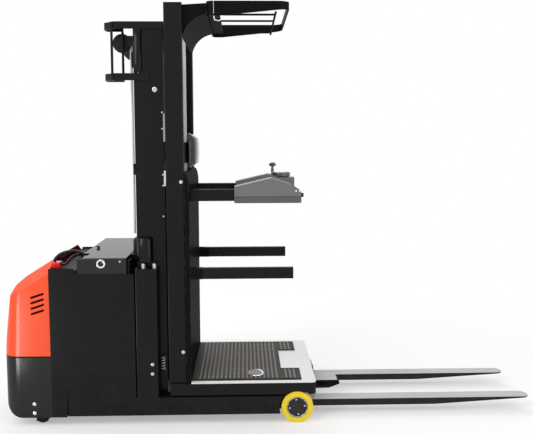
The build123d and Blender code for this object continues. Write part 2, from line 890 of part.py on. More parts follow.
with BuildPart() as cab_housing:
    for inset, mode in ((0, Mode.ADD), (housing_wall, Mode.SUBTRACT)):
        half = post_outer - inset
        with BuildSketch(upright(half)):
            with BuildLine():
                housing_outline(inset)
            make_face()
        extrude(amount=2 * half, mode=mode)
    for side in (1, -1):
        for step in (1, -1):
            cheek_y = (
                side * (bracket_mid + step * (bracket_half - 6)),
                side * (bracket_mid + step * bracket_half),
            )
            block((housing_front_x - 1, gate_pivot_x + bracket_reach), cheek_y, bracket_z)
        pin_y = (side * (bracket_mid - bracket_half), side * (bracket_mid + bracket_half))
        rod_along_y(gate_pivot_x, gate_mid_z, gate_pin_d / 2, pin_y)
save(cab_housing, "cab_housing")


# Deck

deck_sheet_z = deck_top_z - deck_plate - deck_sheet


def deck_outline(back_x):
    """Plan of the deck from back_x forwards, with the two front corners rounded."""
    with Locations(((back_x + deck_front_x) / 2, 0)):
        Rectangle(deck_front_x - back_x, 2 * half_width)


with BuildPart() as deck_frame:
    with BuildSketch(Plane.XY.offset(deck_bottom_z)) as outline:
        deck_outline(deck_rear_x)
        fillet(outline.vertices().group_by(Axis.X)[-1], radius=deck_corner_r)
    extrude(amount=deck_under_z - deck_bottom_z)
    bay_half = leg_inner - 10
    for x_range in ((deck_rear_x + deck_wall, deck_beam_x - 5), (deck_beam_x + 5, deck_front_x - deck_wall)):
        block(x_range, (-bay_half, bay_half), (deck_bottom_z, deck_sheet_z), Mode.SUBTRACT)
    for side in (1, -1):
        rod_along_y(
            load_axle_x,
            load_axle_z,
            arch_r,
            (side * (leg_inner + cheek_thickness - 6), side * (half_width + 1)),
            Mode.SUBTRACT,
        )
save(deck_frame, "deck_frame")

with BuildPart() as deck_plate_part:
    with BuildSketch(Plane.XY.offset(deck_under_z)) as outline:
        deck_outline(housing_front_x)
        fillet(outline.vertices().group_by(Axis.X)[-1], radius=deck_corner_r)
    extrude(amount=deck_plate)
save(deck_plate_part, "deck_plate")

with BuildPart() as deck_mat:
    with BuildSketch(Plane.XY.offset(deck_top_z)) as outline:
        with Locations(((mat_rear_x + mat_front_x) / 2, 0)):
            Rectangle(mat_front_x - mat_rear_x, 2 * mat_half)
        with Locations(((mat_notch_x + mat_front_x) / 2 + 1, 0)):
            Rectangle(mat_front_x - mat_notch_x + 2, 2 * mat_notch_half, mode=Mode.SUBTRACT)
        with Locations((switch_x, switch_y)):
            Ellipse(switch_length / 2 + 1, switch_width / 2 + 1, mode=Mode.SUBTRACT)
    extrude(amount=mat_thickness)
save(deck_mat, "deck_mat")

with BuildPart() as foot_switch:
    with BuildSketch(Plane.XY.offset(deck_top_z)):
        with Locations((switch_x, switch_y)):
            Ellipse(switch_length / 2, switch_width / 2)
    extrude(amount=switch_height)
    fillet(foot_switch.edges().group_by(Axis.Z)[-1], radius=3)
save(foot_switch, "foot_switch")


# Overhead guard

def roof_outline(inset):
    half = roof_half - inset
    with Locations(((roof_rear_x + roof_front_x) / 2, 0)):
        Rectangle(roof_front_x - roof_rear_x - 2 * inset, 2 * half)


with BuildPart() as overhead_guard:
    with BuildSketch(Plane.XY.offset(roof_top_z - roof_rear_depth)) as outline:
        roof_outline(0)
        fillet(outline.vertices().group_by(Axis.X)[-1], radius=roof_front_r)
        fillet(outline.vertices().group_by(Axis.X)[0], radius=roof_rear_r)
    extrude(amount=roof_rear_depth)
    with BuildSketch(Plane.XY.offset(roof_top_z - roof_rear_depth)) as outline:
        roof_outline(roof_band)
        fillet(outline.vertices().group_by(Axis.X)[-1], radius=roof_front_r - roof_band)
        fillet(outline.vertices().group_by(Axis.X)[0], radius=roof_rear_r - roof_band)
    extrude(amount=roof_rear_depth, mode=Mode.SUBTRACT)
    with BuildSketch(upright(roof_half + 1)):
        with BuildLine():
            Polyline(
                (roof_rear_x - 1, roof_top_z - roof_rear_depth - 1),
                (roof_rear_x + 60, roof_top_z - roof_rear_depth),
                (roof_front_x, roof_top_z - roof_front_depth),
                (roof_front_x + 1, roof_top_z - roof_rear_depth - 1),
                close=True,
            )
        make_face()
    extrude(amount=2 * roof_half + 2, mode=Mode.SUBTRACT)
    for x in roof_bar_x:
        rod_along_y(x, roof_bar_z, roof_bar_d / 2, (-roof_half + roof_band / 2, roof_half - roof_band / 2))
    with BuildSketch(Plane.YZ.offset(roof_bar_x[0])) as bars:
        with Locations([(side * y, roof_bar_z) for side in (1, -1) for y in roof_bar_y]):
            Circle(roof_bar_d / 2 - 0.5)
    extrude(bars.sketch, amount=roof_bar_x[1] - roof_bar_x[0])
    lower_end = (post_front_x, gusset_bottom_z)
    upper_end = (roof_rear_x + 1, gusset_top_z)
    for y in (gusset_inner + gusset_thickness, -gusset_inner):
        with BuildSketch(upright(y)) as gusset:
            with BuildLine():
                Polyline(
                    lower_end,
                    (post_front_x, roof_top_z - 14),
                    (roof_rear_x + 1, roof_top_z - 6),
                    upper_end,
                )
                ThreePointArc(upper_end, gusset_mid, lower_end)
            make_face()
        extrude(gusset.sketch, amount=gusset_thickness)
    with BuildSketch(upright(gusset_inner + 1)) as head_panel:
        with BuildLine():
            ThreePointArc(upper_end, gusset_mid, lower_end)
            Line(lower_end, (post_front_x, gusset_bottom_z + 2 * head_sheet))
            ThreePointArc(
                (post_front_x, gusset_bottom_z + 2 * head_sheet),
                (gusset_mid[0] - 3, gusset_mid[1] + head_sheet),
                (roof_rear_x + 1, gusset_top_z + head_sheet),
            )
            Line((roof_rear_x + 1, gusset_top_z + head_sheet), upper_end)
        make_face()
    extrude(head_panel.sketch, amount=2 * gusset_inner + 2)
save(overhead_guard, "overhead_guard")


# Consoles on two beams

with BuildPart() as console_beams:
    for side in (1, -1):
        beam_y = (side * beam_inner, side * beam_outer)
        block((housing_front_x, console_rear_x), beam_y, (beam_bottom_z, beam_top_z))
save(console_beams, "console_beams")


# The left one keeps a level front that carries the steering wheel, the right one slopes down
console_fronts = {
    "left": ((wheel_seat_rear_x, wheel_seat_z), (console_front_x, wheel_seat_z)),
    "right": ((console_front_x - 58, console_ridge_z - 35), (console_front_x - 2, console_ridge_z - 73)),
}


def console(name, side):
    with BuildPart() as case:
        with BuildSketch(upright(max(side * console_inner, side * console_outer))) as outline:
            with BuildLine():
                Polyline(
                    (console_rear_x, console_bottom_z),
                    (console_rear_x, console_rear_z),
                    (console_ridge_x, console_ridge_z),
                    *console_fronts[name],
                    (console_front_x, console_bottom_z),
                    close=True,
                )
            make_face()
            fillet(outline.vertices().group_by(Axis.Y)[-1], radius=14)
            fillet(outline.vertices().group_by(Axis.Y)[0], radius=16)
        extrude(amount=console_outer - console_inner)
        fillet(case.faces().filter_by(Axis.Y).edges(), radius=console_edge_r)
    save(case, f"console_{name}")


for name, side in sides:
    console(name, side)

wheel_y = (console_inner + console_outer) / 2
spinner_x = wheel_x - wheel_d / 2 + 11
disc_top_z = wheel_bottom_z + wheel_thickness

with BuildPart() as steering_wheel:
    rod_along_z(wheel_x, wheel_y, 14, (wheel_seat_z, wheel_bottom_z))
    rod_along_z(wheel_x, wheel_y, wheel_d / 2, (wheel_bottom_z, disc_top_z))
    fillet(steering_wheel.edges().filter_by(GeomType.CIRCLE).sort_by(SortBy.RADIUS)[-2:], radius=4)
    with BuildSketch(Plane(origin=(spinner_x, wheel_y, 0), x_dir=(1, 0, 0), z_dir=(0, -1, 0))) as mushroom:
        with BuildLine():
            Polyline((0, disc_top_z - 1), (11, disc_top_z - 1), (7, spinner_top_z - 26))
            Spline(
                (7, spinner_top_z - 26),
                (spinner_d / 2, spinner_top_z - 10),
                (spinner_d / 2 - 8, spinner_top_z - 1),
                (0, spinner_top_z),
                tangents=((1, 0.2), (-1, 0)),
            )
            Line((0, spinner_top_z), (0, disc_top_z - 1))
        make_face()
    revolve(mushroom.sketch, axis=Axis((spinner_x, wheel_y, 0), (0, 0, 1)))
save(steering_wheel, "steering_wheel")

with BuildPart() as control_knob:
    with BuildSketch(Plane(origin=(console_front_x, -knob_y, knob_z), x_dir=(0, 1, 0), z_dir=(1, 0, 0))):
        Circle(knob_d / 2)
    extrude(amount=knob_length)
    fillet(control_knob.edges().group_by(Axis.X)[-1], radius=3)
save(control_knob, "control_knob")


# Back cushion

with BuildPart() as back_cushion:
    with BuildSketch(Plane.YZ.offset(cushion_back_x)):
        with Locations((0, (cushion_bottom_z + cushion_top_z) / 2)):
            RectangleRounded(2 * cushion_half, cushion_top_z - cushion_bottom_z, cushion_corner_r)
    extrude(amount=cushion_front_x - cushion_back_x)
    fillet(back_cushion.faces().sort_by(Axis.X)[-1].edges(), radius=cushion_edge_r)
save(back_cushion, "back_cushion")


# Side gates

def gate(name, side):
    y_high = max(side * gate_inner, side * gate_outer)
    low, high = gate_mid_z - gate_height / 2, gate_mid_z + gate_height / 2
    with BuildPart() as arm:
        with BuildSketch(upright(y_high)):
            with Locations((gate_pivot_x, gate_mid_z)):
                Circle(gate_height / 2)
            with Locations(((gate_pivot_x + gate_end_x) / 2, gate_mid_z)):
                Rectangle(gate_end_x - gate_pivot_x, gate_height)
        extrude(amount=gate_outer - gate_inner)
        bore = (side * (gate_inner - 1), side * (gate_outer + 1))
        rod_along_y(gate_pivot_x, gate_mid_z, gate_pin_d / 2 + fit_gap, bore, Mode.SUBTRACT)
    save(arm, f"gate_{name}")


for name, side in sides:
    gate(name, side)


# Forks and pallet clamp

def fork(name, side):
    y = max(side * (fork_mid - fork_width / 2), side * (fork_mid + fork_width / 2))
    bottom = fork_top_z - fork_thickness
    with BuildPart() as blade:
        with BuildSketch(upright(y)):
            with BuildLine():
                Polyline(
                    (fork_rear_x, bottom),
                    (fork_taper_x, bottom),
                    (fork_tip_x, fork_top_z - fork_tip_thickness),
                    (fork_tip_x, fork_top_z),
                    (heel_front_x, fork_top_z),
                    (heel_front_x, deck_sheet_z),
                    (fork_rear_x, deck_sheet_z),
                    close=True,
                )
            make_face()
        extrude(amount=fork_width)
        tip_edges = blade.edges().filter_by(Axis.Z).group_by(Axis.X)[-1]
        fillet(tip_edges, radius=fork_tip_r)
    save(blade, f"fork_{name}")


for name, side in sides:
    fork(name, side)

with BuildPart() as pallet_clamp:
    with BuildSketch(upright(clamp_half)):
        with BuildLine():
            Polyline(
                (deck_front_x, clamp_bottom_z),
                (deck_front_x, deck_top_z - 20),
                (deck_front_x + 14, deck_top_z - 20),
                (deck_front_x + 30, clamp_top_z),
                (clamp_front_x - 15, clamp_top_z),
                (clamp_front_x, clamp_top_z - 18),
                (clamp_front_x, clamp_top_z - 24),
                (clamp_front_x - 62, clamp_top_z - 48),
                (deck_front_x + 30, clamp_bottom_z),
                close=True,
            )
        make_face()
    extrude(amount=2 * clamp_half)
save(pallet_clamp, "pallet_clamp")
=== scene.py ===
import math

import bmesh
import bpy
from mathutils import Matrix, Vector


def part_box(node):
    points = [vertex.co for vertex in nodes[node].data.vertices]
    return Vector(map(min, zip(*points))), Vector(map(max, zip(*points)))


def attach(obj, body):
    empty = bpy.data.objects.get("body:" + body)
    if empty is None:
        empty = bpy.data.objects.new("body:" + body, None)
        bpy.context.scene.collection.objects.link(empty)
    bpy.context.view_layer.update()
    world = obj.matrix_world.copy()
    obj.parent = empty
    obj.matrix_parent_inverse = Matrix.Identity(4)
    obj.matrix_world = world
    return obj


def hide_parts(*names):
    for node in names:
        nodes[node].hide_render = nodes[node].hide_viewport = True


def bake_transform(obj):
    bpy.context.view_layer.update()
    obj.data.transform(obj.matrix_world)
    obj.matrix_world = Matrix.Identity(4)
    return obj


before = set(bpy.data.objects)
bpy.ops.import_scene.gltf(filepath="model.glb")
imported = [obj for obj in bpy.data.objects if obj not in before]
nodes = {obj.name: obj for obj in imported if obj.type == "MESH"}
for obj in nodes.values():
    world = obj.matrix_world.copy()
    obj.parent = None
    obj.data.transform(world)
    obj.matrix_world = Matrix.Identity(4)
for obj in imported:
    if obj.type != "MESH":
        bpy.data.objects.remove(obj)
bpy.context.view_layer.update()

scene = bpy.context.scene
SIDES = (("left", 1.0), ("right", -1.0))


# Node trees

def feed(tree, socket, value):
    """Links a socket to another socket, or sets its value."""
    if isinstance(value, bpy.types.NodeSocket):
        tree.links.new(value, socket)
    else:
        socket.default_value = value


def place(tree, kind, inputs=None, **settings):
    """Adds a node, sets its properties, and fills its inputs from values or sockets."""
    node = tree.nodes.new(kind)
    for key, value in settings.items():
        setattr(node, key, value)
    for key, value in (inputs or {}).items():
        feed(tree, node.inputs[key], value)
    return node


def new_tree(name, kind, inputs, outputs):
    """Node group with named sockets; returns the tree, its inputs and its outputs."""
    tree = bpy.data.node_groups.new(name, kind)
    for label, socket_type, value in inputs:
        socket = tree.interface.new_socket(name=label, in_out="INPUT", socket_type=socket_type)
        if value is not None:
            socket.default_value = value
    for label, socket_type in outputs:
        tree.interface.new_socket(name=label, in_out="OUTPUT", socket_type=socket_type)
    return tree, tree.nodes.new("NodeGroupInput").outputs, tree.nodes.new("NodeGroupOutput").inputs


def math_node(tree, operation, *values):
    node = place(tree, "ShaderNodeMath", operation=operation)
    for socket, value in zip(node.inputs, values):
        feed(tree, socket, value)
    return node.outputs[0]


def noise(tree, vector, scale, detail=3.0, roughness=0.5):
    values = {"Vector": vector, "Scale": scale, "Detail": detail, "Roughness": roughness}
    return place(tree, "ShaderNodeTexNoise", values).outputs["Fac"]


def spread(tree, factor, low, high, floor=0.0, ceiling=1.0):
    """Stretches a factor between low and high to floor and ceiling, clamped."""
    values = {"Value": factor, "From Min": low, "From Max": high, "To Min": floor, "To Max": ceiling}
    return place(tree, "ShaderNodeMapRange", values).outputs["Result"]


def mix_color(tree, factor, first, second):
    node = place(tree, "ShaderNodeMix", data_type="RGBA")
    for name, value in (("Factor_Float", factor), ("A_Color", first), ("B_Color", second)):
        feed(tree, next(s for s in node.inputs if s.identifier == name), value)
    return next(s for s in node.outputs if s.identifier == "Result_Color")


def rgba(red, green, blue):
    return (red, green, blue, 1.0)


def finish_group():
    """Sprayed or moulded skin: slow tone changes, gloss changes, and a fine height."""
    tree, given, result = new_tree(
        "skin finish",
        "ShaderNodeTree",
        (
            ("Color", "NodeSocketColor", rgba(0.5, 0.5, 0.5)),
            ("Shade", "NodeSocketFloat", 0.1),
            ("Roughness", "NodeSocketFloat", 0.4),
            ("Gloss Change", "NodeSocketFloat", 0.1),
            ("Grain Scale", "NodeSocketFloat", 600.0),
        ),
        (("Color", "NodeSocketColor"), ("Roughness", "NodeSocketFloat"), ("Height", "NodeSocketFloat")),
    )
    place_at = place(tree, "ShaderNodeTexCoord").outputs["Object"]
    cloud = noise(tree, place_at, 2.3, 4.0)
    light = math_node(tree, "MULTIPLY_ADD", cloud, given["Shade"], 1.0)
    light = math_node(tree, "MULTIPLY_ADD", given["Shade"], -0.5, light)
    tone = place(tree, "ShaderNodeVectorMath", {0: given["Color"], "Scale": light}, operation="SCALE")
    tree.links.new(tone.outputs["Vector"], result["Color"])
    smear = noise(tree, place_at, 9.0, 5.0, 0.6)
    gloss = math_node(tree, "MULTIPLY_ADD", smear, given["Gloss Change"], given["Roughness"])
    gloss = math_node(tree, "MULTIPLY_ADD", given["Gloss Change"], -0.5, gloss)
    tree.links.new(gloss, result["Roughness"])
    grain = noise(tree, place_at, given["Grain Scale"], 2.0)
    tree.links.new(grain, result["Height"])
    return tree


def dust_group():
    """Pale dust that lies low on the truck, in patches."""
    tree, given, result = new_tree(
        "floor dust",
        "ShaderNodeTree",
        (
            ("Color", "NodeSocketColor", rgba(0.5, 0.5, 0.5)),
            ("Dust Color", "NodeSocketColor", rgba(0.30, 0.28, 0.25)),
            ("Roughness", "NodeSocketFloat", 0.4),
            ("Amount", "NodeSocketFloat", 0.1),
            ("Reach", "NodeSocketFloat", 0.5),
        ),
        (("Color", "NodeSocketColor"), ("Roughness", "NodeSocketFloat")),
    )
    place_at = place(tree, "ShaderNodeTexCoord").outputs["Object"]
    height = place(tree, "ShaderNodeSeparateXYZ", {"Vector": place_at}).outputs["Z"]
    low = math_node(tree, "DIVIDE", height, given["Reach"])
    low = spread(tree, low, 0.0, 1.0, 1.0, 0.12)
    patches = spread(tree, noise(tree, place_at, 14.0, 6.0, 0.65), 0.42, 0.78)
    mask = math_node(tree, "MULTIPLY", math_node(tree, "MULTIPLY", low, patches), given["Amount"])
    tree.links.new(mix_color(tree, mask, given["Color"], given["Dust Color"]), result["Color"])
    dull = math_node(tree, "MULTIPLY_ADD", mask, 0.5, given["Roughness"])
    tree.links.new(dull, result["Roughness"])
    return tree


def edge_group():
    """Rounds sharp edges for the light and marks them; the mark carries worn edges and painted highlight
    lines.
    """
    tree, given, result = new_tree(
        "soft edges",
        "ShaderNodeTree",
        (("Radius", "NodeSocketFloat", 0.002), ("Wear Scale", "NodeSocketFloat", 30.0)),
        (("Normal", "NodeSocketVector"), ("Wear", "NodeSocketFloat")),
    )
    rounded = place(tree, "ShaderNodeBevel", {"Radius": given["Radius"]}, samples=4).outputs["Normal"]
    true_normal = place(tree, "ShaderNodeNewGeometry").outputs["Normal"]
    turn = place(tree, "ShaderNodeVectorMath", {0: rounded, 1: true_normal}, operation="DOT_PRODUCT")
    edge = spread(tree, turn.outputs["Value"], 0.99, 0.8)
    place_at = place(tree, "ShaderNodeTexCoord").outputs["Object"]
    broken = spread(tree, noise(tree, place_at, given["Wear Scale"], 4.0), 0.45, 0.62)
    tree.links.new(math_node(tree, "MULTIPLY", edge, broken), result["Wear"])
    tree.links.new(rounded, result["Normal"])
    return tree


def brushed_group():
    """Metal with fine lines along one direction, set by the Lines scale on each axis."""
    tree, given, result = new_tree(
        "brushed lines",
        "ShaderNodeTree",
        (
            ("Color", "NodeSocketColor", rgba(0.6, 0.6, 0.6)),
            ("Lines", "NodeSocketVector", (12.0, 900.0, 900.0)),
            ("Roughness", "NodeSocketFloat", 0.3),
        ),
        (("Color", "NodeSocketColor"), ("Roughness", "NodeSocketFloat"), ("Height", "NodeSocketFloat")),
    )
    place_at = place(tree, "ShaderNodeTexCoord").outputs["Object"]
    drawn = place(tree, "ShaderNodeVectorMath", {0: place_at, 1: given["Lines"]}, operation="MULTIPLY")
    lines = noise(tree, drawn.outputs["Vector"], 1.0, 3.0)
    tone = spread(tree, lines, 0.3, 0.7, 0.86, 1.06)
    shaded = place(tree, "ShaderNodeVectorMath", {0: given["Color"], "Scale": tone}, operation="SCALE")
    tree.links.new(shaded.outputs["Vector"], result["Color"])
    smear = noise(tree, place_at, 7.0, 4.0)
    gloss = math_node(tree, "MULTIPLY_ADD", smear, 0.18, given["Roughness"])
    tree.links.new(gloss, result["Roughness"])
    tree.links.new(lines, result["Height"])
    return tree


SKIN = finish_group()
DUST = dust_group()
EDGES = edge_group()
BRUSHED = brushed_group()


# Materials

METAL_EDGE = 0.0015
STEEL_WEAR = (0.32, 0.31, 0.30)


def shader(name, constants):
    """Material with one Principled shader; constants are set on its own sockets."""
    material = bpy.data.materials.new(name)
    material.use_nodes = True
    tree = material.node_tree
    tree.nodes.clear()
    surface = place(tree, "ShaderNodeBsdfPrincipled", constants)
    place(tree, "ShaderNodeOutputMaterial", {"Surface": surface.outputs["BSDF"]})
    return material, tree, surface


def group_node(tree, group, inputs):
    return place(tree, "ShaderNodeGroup", inputs, node_tree=group).outputs


def coated(name, color, roughness, shade=0.12, gloss_change=0.08, grain=450.0, bump=0.04,
           dust=0.06, reach=0.6, edge=0.0025, wear_and_highlight=None, wear_and_highlight_amount=0.0, specular=0.5,
           coat=(0.0, 0.03)):
    """Paint or moulding: skin, floor dust, soft edges with a tone along them for worn edges and painted
    highlight lines, and a coat (weight, roughness).
    """
    material, tree, surface = shader(name, {
        "Specular IOR Level": specular, "Coat Weight": coat[0], "Coat Roughness": coat[1],
    })
    skin = group_node(tree, SKIN, {
        "Color": rgba(*color), "Shade": shade, "Roughness": roughness, "Gloss Change": gloss_change,
        "Grain Scale": grain,
    })
    dusty = group_node(tree, DUST, {
        "Color": skin["Color"], "Roughness": skin["Roughness"], "Amount": dust, "Reach": reach,
    })
    edges = group_node(tree, EDGES, {"Radius": edge})
    tone = dusty["Color"]
    # Tone along the edges: worn steel on some paints, painted highlight lines on others.
    if wear_and_highlight:
        share = math_node(tree, "MULTIPLY", edges["Wear"], wear_and_highlight_amount)
        tone = mix_color(tree, share, tone, rgba(*wear_and_highlight))
    tree.links.new(tone, surface.inputs["Base Color"])
    tree.links.new(dusty["Roughness"], surface.inputs["Roughness"])
    relief = place(tree, "ShaderNodeBump", {
        "Strength": bump, "Distance": 0.001, "Height": skin["Height"], "Normal": edges["Normal"],
    })
    tree.links.new(relief.outputs["Normal"], surface.inputs["Normal"])
    tree.links.new(relief.outputs["Normal"], surface.inputs["Coat Normal"])
    return material


def metal(name, color, roughness, bump=0.05):
    """Bare or plated metal, with fine lines along X."""
    material, tree, surface = shader(name, {"Metallic": 1.0})
    drawn = group_node(tree, BRUSHED, {"Color": rgba(*color), "Roughness": roughness})
    edges = group_node(tree, EDGES, {"Radius": METAL_EDGE})
    tree.links.new(drawn["Color"], surface.inputs["Base Color"])
    tree.links.new(drawn["Roughness"], surface.inputs["Roughness"])
    relief = place(tree, "ShaderNodeBump", {
        "Strength": bump, "Distance": 0.0005, "Height": drawn["Height"], "Normal": edges["Normal"],
    })
    tree.links.new(relief.outputs["Normal"], surface.inputs["Normal"])
    return material


satin_black = coated("satin black paint", (0.0085, 0.0085, 0.009), 0.4, bump=0.05, dust=0.03, edge=0.0016,
                     wear_and_highlight=STEEL_WEAR, wear_and_highlight_amount=0.08, specular=0.0, coat=(0.24, 0.26))
# Pale tone along its edges: painted highlight lines.
guard_black = coated("guard black paint", (0.0060, 0.0060, 0.0064), 0.5, bump=0.05, dust=0.0, edge=0.003,
                     wear_and_highlight=(0.62, 0.60, 0.58), wear_and_highlight_amount=0.35, specular=0.0, coat=(0.08, 0.30))
mast_black = coated("mast black paint", (0.0075, 0.008, 0.0082), 0.4, bump=0.04, dust=0.03,
                    wear_and_highlight=STEEL_WEAR, wear_and_highlight_amount=0.05, specular=0.0, coat=(0.26, 0.20))
shell_black = coated("moulded black shell", (0.0095, 0.0095, 0.010), 0.4, bump=0.05, grain=900.0,
                     dust=0.04, edge=0.004, specular=0.0, coat=(0.55, 0.16))
lid_black = coated("lid black paint", (0.0090, 0.0090, 0.0095), 0.4, bump=0.04, dust=0.04, edge=0.004,
                   specular=0.0, coat=(0.7, 0.10))
cage_black = coated("gloss black straps", (0.0040, 0.0040, 0.0044), 0.4, bump=0.02, dust=0.0, edge=0.003,
                    specular=0.0, coat=(0.40, 0.12))
hood_orange = coated("gloss orange hood", (0.97, 0.098, 0.030), 0.40, shade=0.05, gloss_change=0.05,
                     bump=0.02, dust=0.02, edge=0.008, specular=0.0, coat=(0.40, 0.20))
battery_grey = coated("battery case", (0.022, 0.023, 0.025), 0.55, bump=0.12, grain=700.0)
cable_black = coated("lead rubber", (0.008, 0.008, 0.008), 0.4, bump=0.06, edge=0.001, dust=0.0,
                     specular=0.0, coat=(0.7, 0.18))
hose_grey = coated("woven hose", (0.84, 0.84, 0.84), 0.40, bump=0.3, grain=900.0, dust=0.0, edge=0.001)
lead_gloss = coated("curled lead", (0.30, 0.30, 0.30), 0.16, bump=0.02, dust=0.0, edge=0.001, specular=1.0)
signal_red = coated("red plastic", (0.86, 0.012, 0.014), 0.32, bump=0.03, edge=0.002, dust=0.0,
                    specular=0.1, coat=(0.5, 0.12))
cast_grey = coated("painted casting", (0.055, 0.057, 0.060), 0.52, shade=0.3, bump=0.35, grain=220.0,
                   wear_and_highlight=STEEL_WEAR, wear_and_highlight_amount=0.35)
sheave_black = coated("sheave", (0.012, 0.012, 0.013), 0.4, bump=0.05, dust=0.0, specular=0.2)
strip_grey = coated("grey strip", (0.42, 0.42, 0.43), 0.35, shade=0.3, bump=0.02, dust=0.0, edge=0.0006)
drive_rubber = coated("drive tread", (0.020, 0.020, 0.020), 0.62, bump=0.2, grain=380.0, dust=0.35)
zinc = metal("zinc plated steel", (0.58, 0.57, 0.53), 0.34)
castor_rubber = coated("castor tread", (0.014, 0.014, 0.014), 0.6, bump=0.15, dust=0.12, specular=0.2)
yellow_tread = coated("yellow tread", (0.88, 0.66, 0.020), 0.38, shade=0.10, bump=0.05, dust=0.05,
                      reach=0.2, edge=0.003, specular=0.2, coat=(0.5, 0.16))
hub_black = coated("hub paint", (0.008, 0.009, 0.012), 0.3, bump=0.05, dust=0.03, wear_and_highlight=STEEL_WEAR,
                   wear_and_highlight_amount=0.2, specular=0.0, coat=(0.8, 0.14))
deck_steel = coated("deck sheet", (0.80, 0.80, 0.79), 0.30, shade=0.06, bump=0.03, dust=0.03,
                    edge=0.002, specular=0.6)
mat_black = coated("ribbed mat", (0.020, 0.0195, 0.018), 0.55, shade=0.5, gloss_change=0.2, bump=0.25,
                   grain=520.0, dust=0.15, reach=0.9, specular=0.1)
# Ribs painted pale brown-grey all over.
rib_tan = coated("pale rib paint", (0.26, 0.235, 0.205), 0.6, shade=0.5, gloss_change=0.1, bump=0.3,
                 grain=420.0, dust=0.0, edge=0.0008, specular=0.1)
chrome = metal("chrome", (0.86, 0.86, 0.87), 0.08, bump=0.0)
# Pale tone along its edges: painted highlight lines.
console_grey = coated("console moulding", (0.165, 0.165, 0.172), 0.42, shade=0.10, bump=0.12,
                      grain=1100.0, edge=0.005, wear_and_highlight=(0.62, 0.62, 0.63), wear_and_highlight_amount=0.55, specular=0.2)
band_grey = coated("console lower band", (0.115, 0.115, 0.120), 0.45, bump=0.1, dust=0.0, edge=0.0006,
                   specular=0.1)
control_black = coated("control plastic", (0.010, 0.010, 0.011), 0.26, bump=0.04, edge=0.002, dust=0.0,
                       specular=0.2, coat=(0.3, 0.12))
wheel_grey = coated("steering disc", (0.060, 0.060, 0.064), 0.34, bump=0.04, edge=0.003, dust=0.0,
                    coat=(0.5, 0.14))
fork_black = coated("fork paint", (0.010, 0.010, 0.0105), 0.4, bump=0.03, dust=0.05, reach=0.3,
                    wear_and_highlight=STEEL_WEAR, wear_and_highlight_amount=0.15, specular=0.0, coat=(0.4, 0.14))
# Bright metal for the painted highlight lines on the guard and the rails.
highlight_metal = metal("bright metal for painted highlights", (0.78, 0.78, 0.78), 0.22)
# Pale white: guide strips and screws, and the painted highlights inside the cab posts.
pale_strip = coated("pale white finish", (0.98, 0.98, 0.98), 0.35, shade=0.02, bump=0.02, dust=0.0,
                    edge=0.0006)


def painted_top_reflection(material, tone, amount):
    """Paints the faces that look up pale, in long scratches along X: a painted reflection on the tops."""
    tree = material.node_tree
    surface = next(n for n in tree.nodes if n.type == "BSDF_PRINCIPLED")
    painted = surface.inputs["Base Color"].links[0].from_socket
    normal = place(tree, "ShaderNodeNewGeometry").outputs["True Normal"]
    up = spread(tree, place(tree, "ShaderNodeSeparateXYZ", {"Vector": normal}).outputs["Z"], 0.8, 0.95)
    place_at = place(tree, "ShaderNodeTexCoord").outputs["Object"]
    drawn = place(tree, "ShaderNodeVectorMath", {0: place_at, 1: (2.0, 160.0, 1.0)}, operation="MULTIPLY")
    scratches = spread(tree, noise(tree, drawn.outputs["Vector"], 1.0, 3.0), 0.25, 0.6, 0.6, 1.0)
    share = math_node(tree, "MULTIPLY", math_node(tree, "MULTIPLY", up, scratches), amount)
    tree.links.new(mix_color(tree, share, painted, rgba(*tone)), surface.inputs["Base Color"])


# Fork and clamp tops painted pale: painted reflection on the faces that look up.
painted_top_reflection(fork_black, (0.66, 0.66, 0.65), 0.95)


def cross_cut(material, pitch, dark):
    """Darkens thin bands across the mat, where its ribs are notched."""
    tree = material.node_tree
    surface = next(n for n in tree.nodes if n.type == "BSDF_PRINCIPLED")
    painted = surface.inputs["Base Color"].links[0].from_socket
    place_at = place(tree, "ShaderNodeTexCoord").outputs["Object"]
    across = place(tree, "ShaderNodeSeparateXYZ", {"Vector": place_at}).outputs["Y"]
    wave = math_node(tree, "SINE", math_node(tree, "MULTIPLY", across, 2 * math.pi / pitch))
    light = spread(tree, wave, 0.35, 0.75, 1.0, dark)
    tone = place(tree, "ShaderNodeVectorMath", {0: painted, "Scale": light}, operation="SCALE")
    tree.links.new(tone.outputs["Vector"], surface.inputs["Base Color"])


cross_cut(rib_tan, 0.048, 0.42)


def leather_material():
    """Grained vinyl: creases between small cells, painted darker as shade in them, with a slow change of
    gloss.
    """
    material, tree, surface = shader("grained vinyl", {"Specular IOR Level": 0.0, "Coat Weight": 1.0,
                                                       "Coat Roughness": 0.08})
    place_at = place(tree, "ShaderNodeTexCoord").outputs["Object"]
    cells = place(tree, "ShaderNodeTexVoronoi", {"Vector": place_at, "Scale": 420.0},
                  feature="DISTANCE_TO_EDGE").outputs["Distance"]
    crease = spread(tree, cells, 0.0, 0.16)
    skin = group_node(tree, SKIN, {
        "Color": rgba(0.011, 0.011, 0.012), "Shade": 0.25, "Roughness": 0.38, "Gloss Change": 0.14,
        "Grain Scale": 900.0,
    })
    # Creases painted darker: painted shade in the grain.
    tone = mix_color(tree, crease, rgba(0.006, 0.006, 0.006), skin["Color"])
    tree.links.new(tone, surface.inputs["Base Color"])
    tree.links.new(skin["Roughness"], surface.inputs["Roughness"])
    relief = place(tree, "ShaderNodeBump", {"Strength": 0.35, "Distance": 0.0008, "Height": crease})
    tree.links.new(relief.outputs["Normal"], surface.inputs["Normal"])
    return material


vinyl = leather_material()

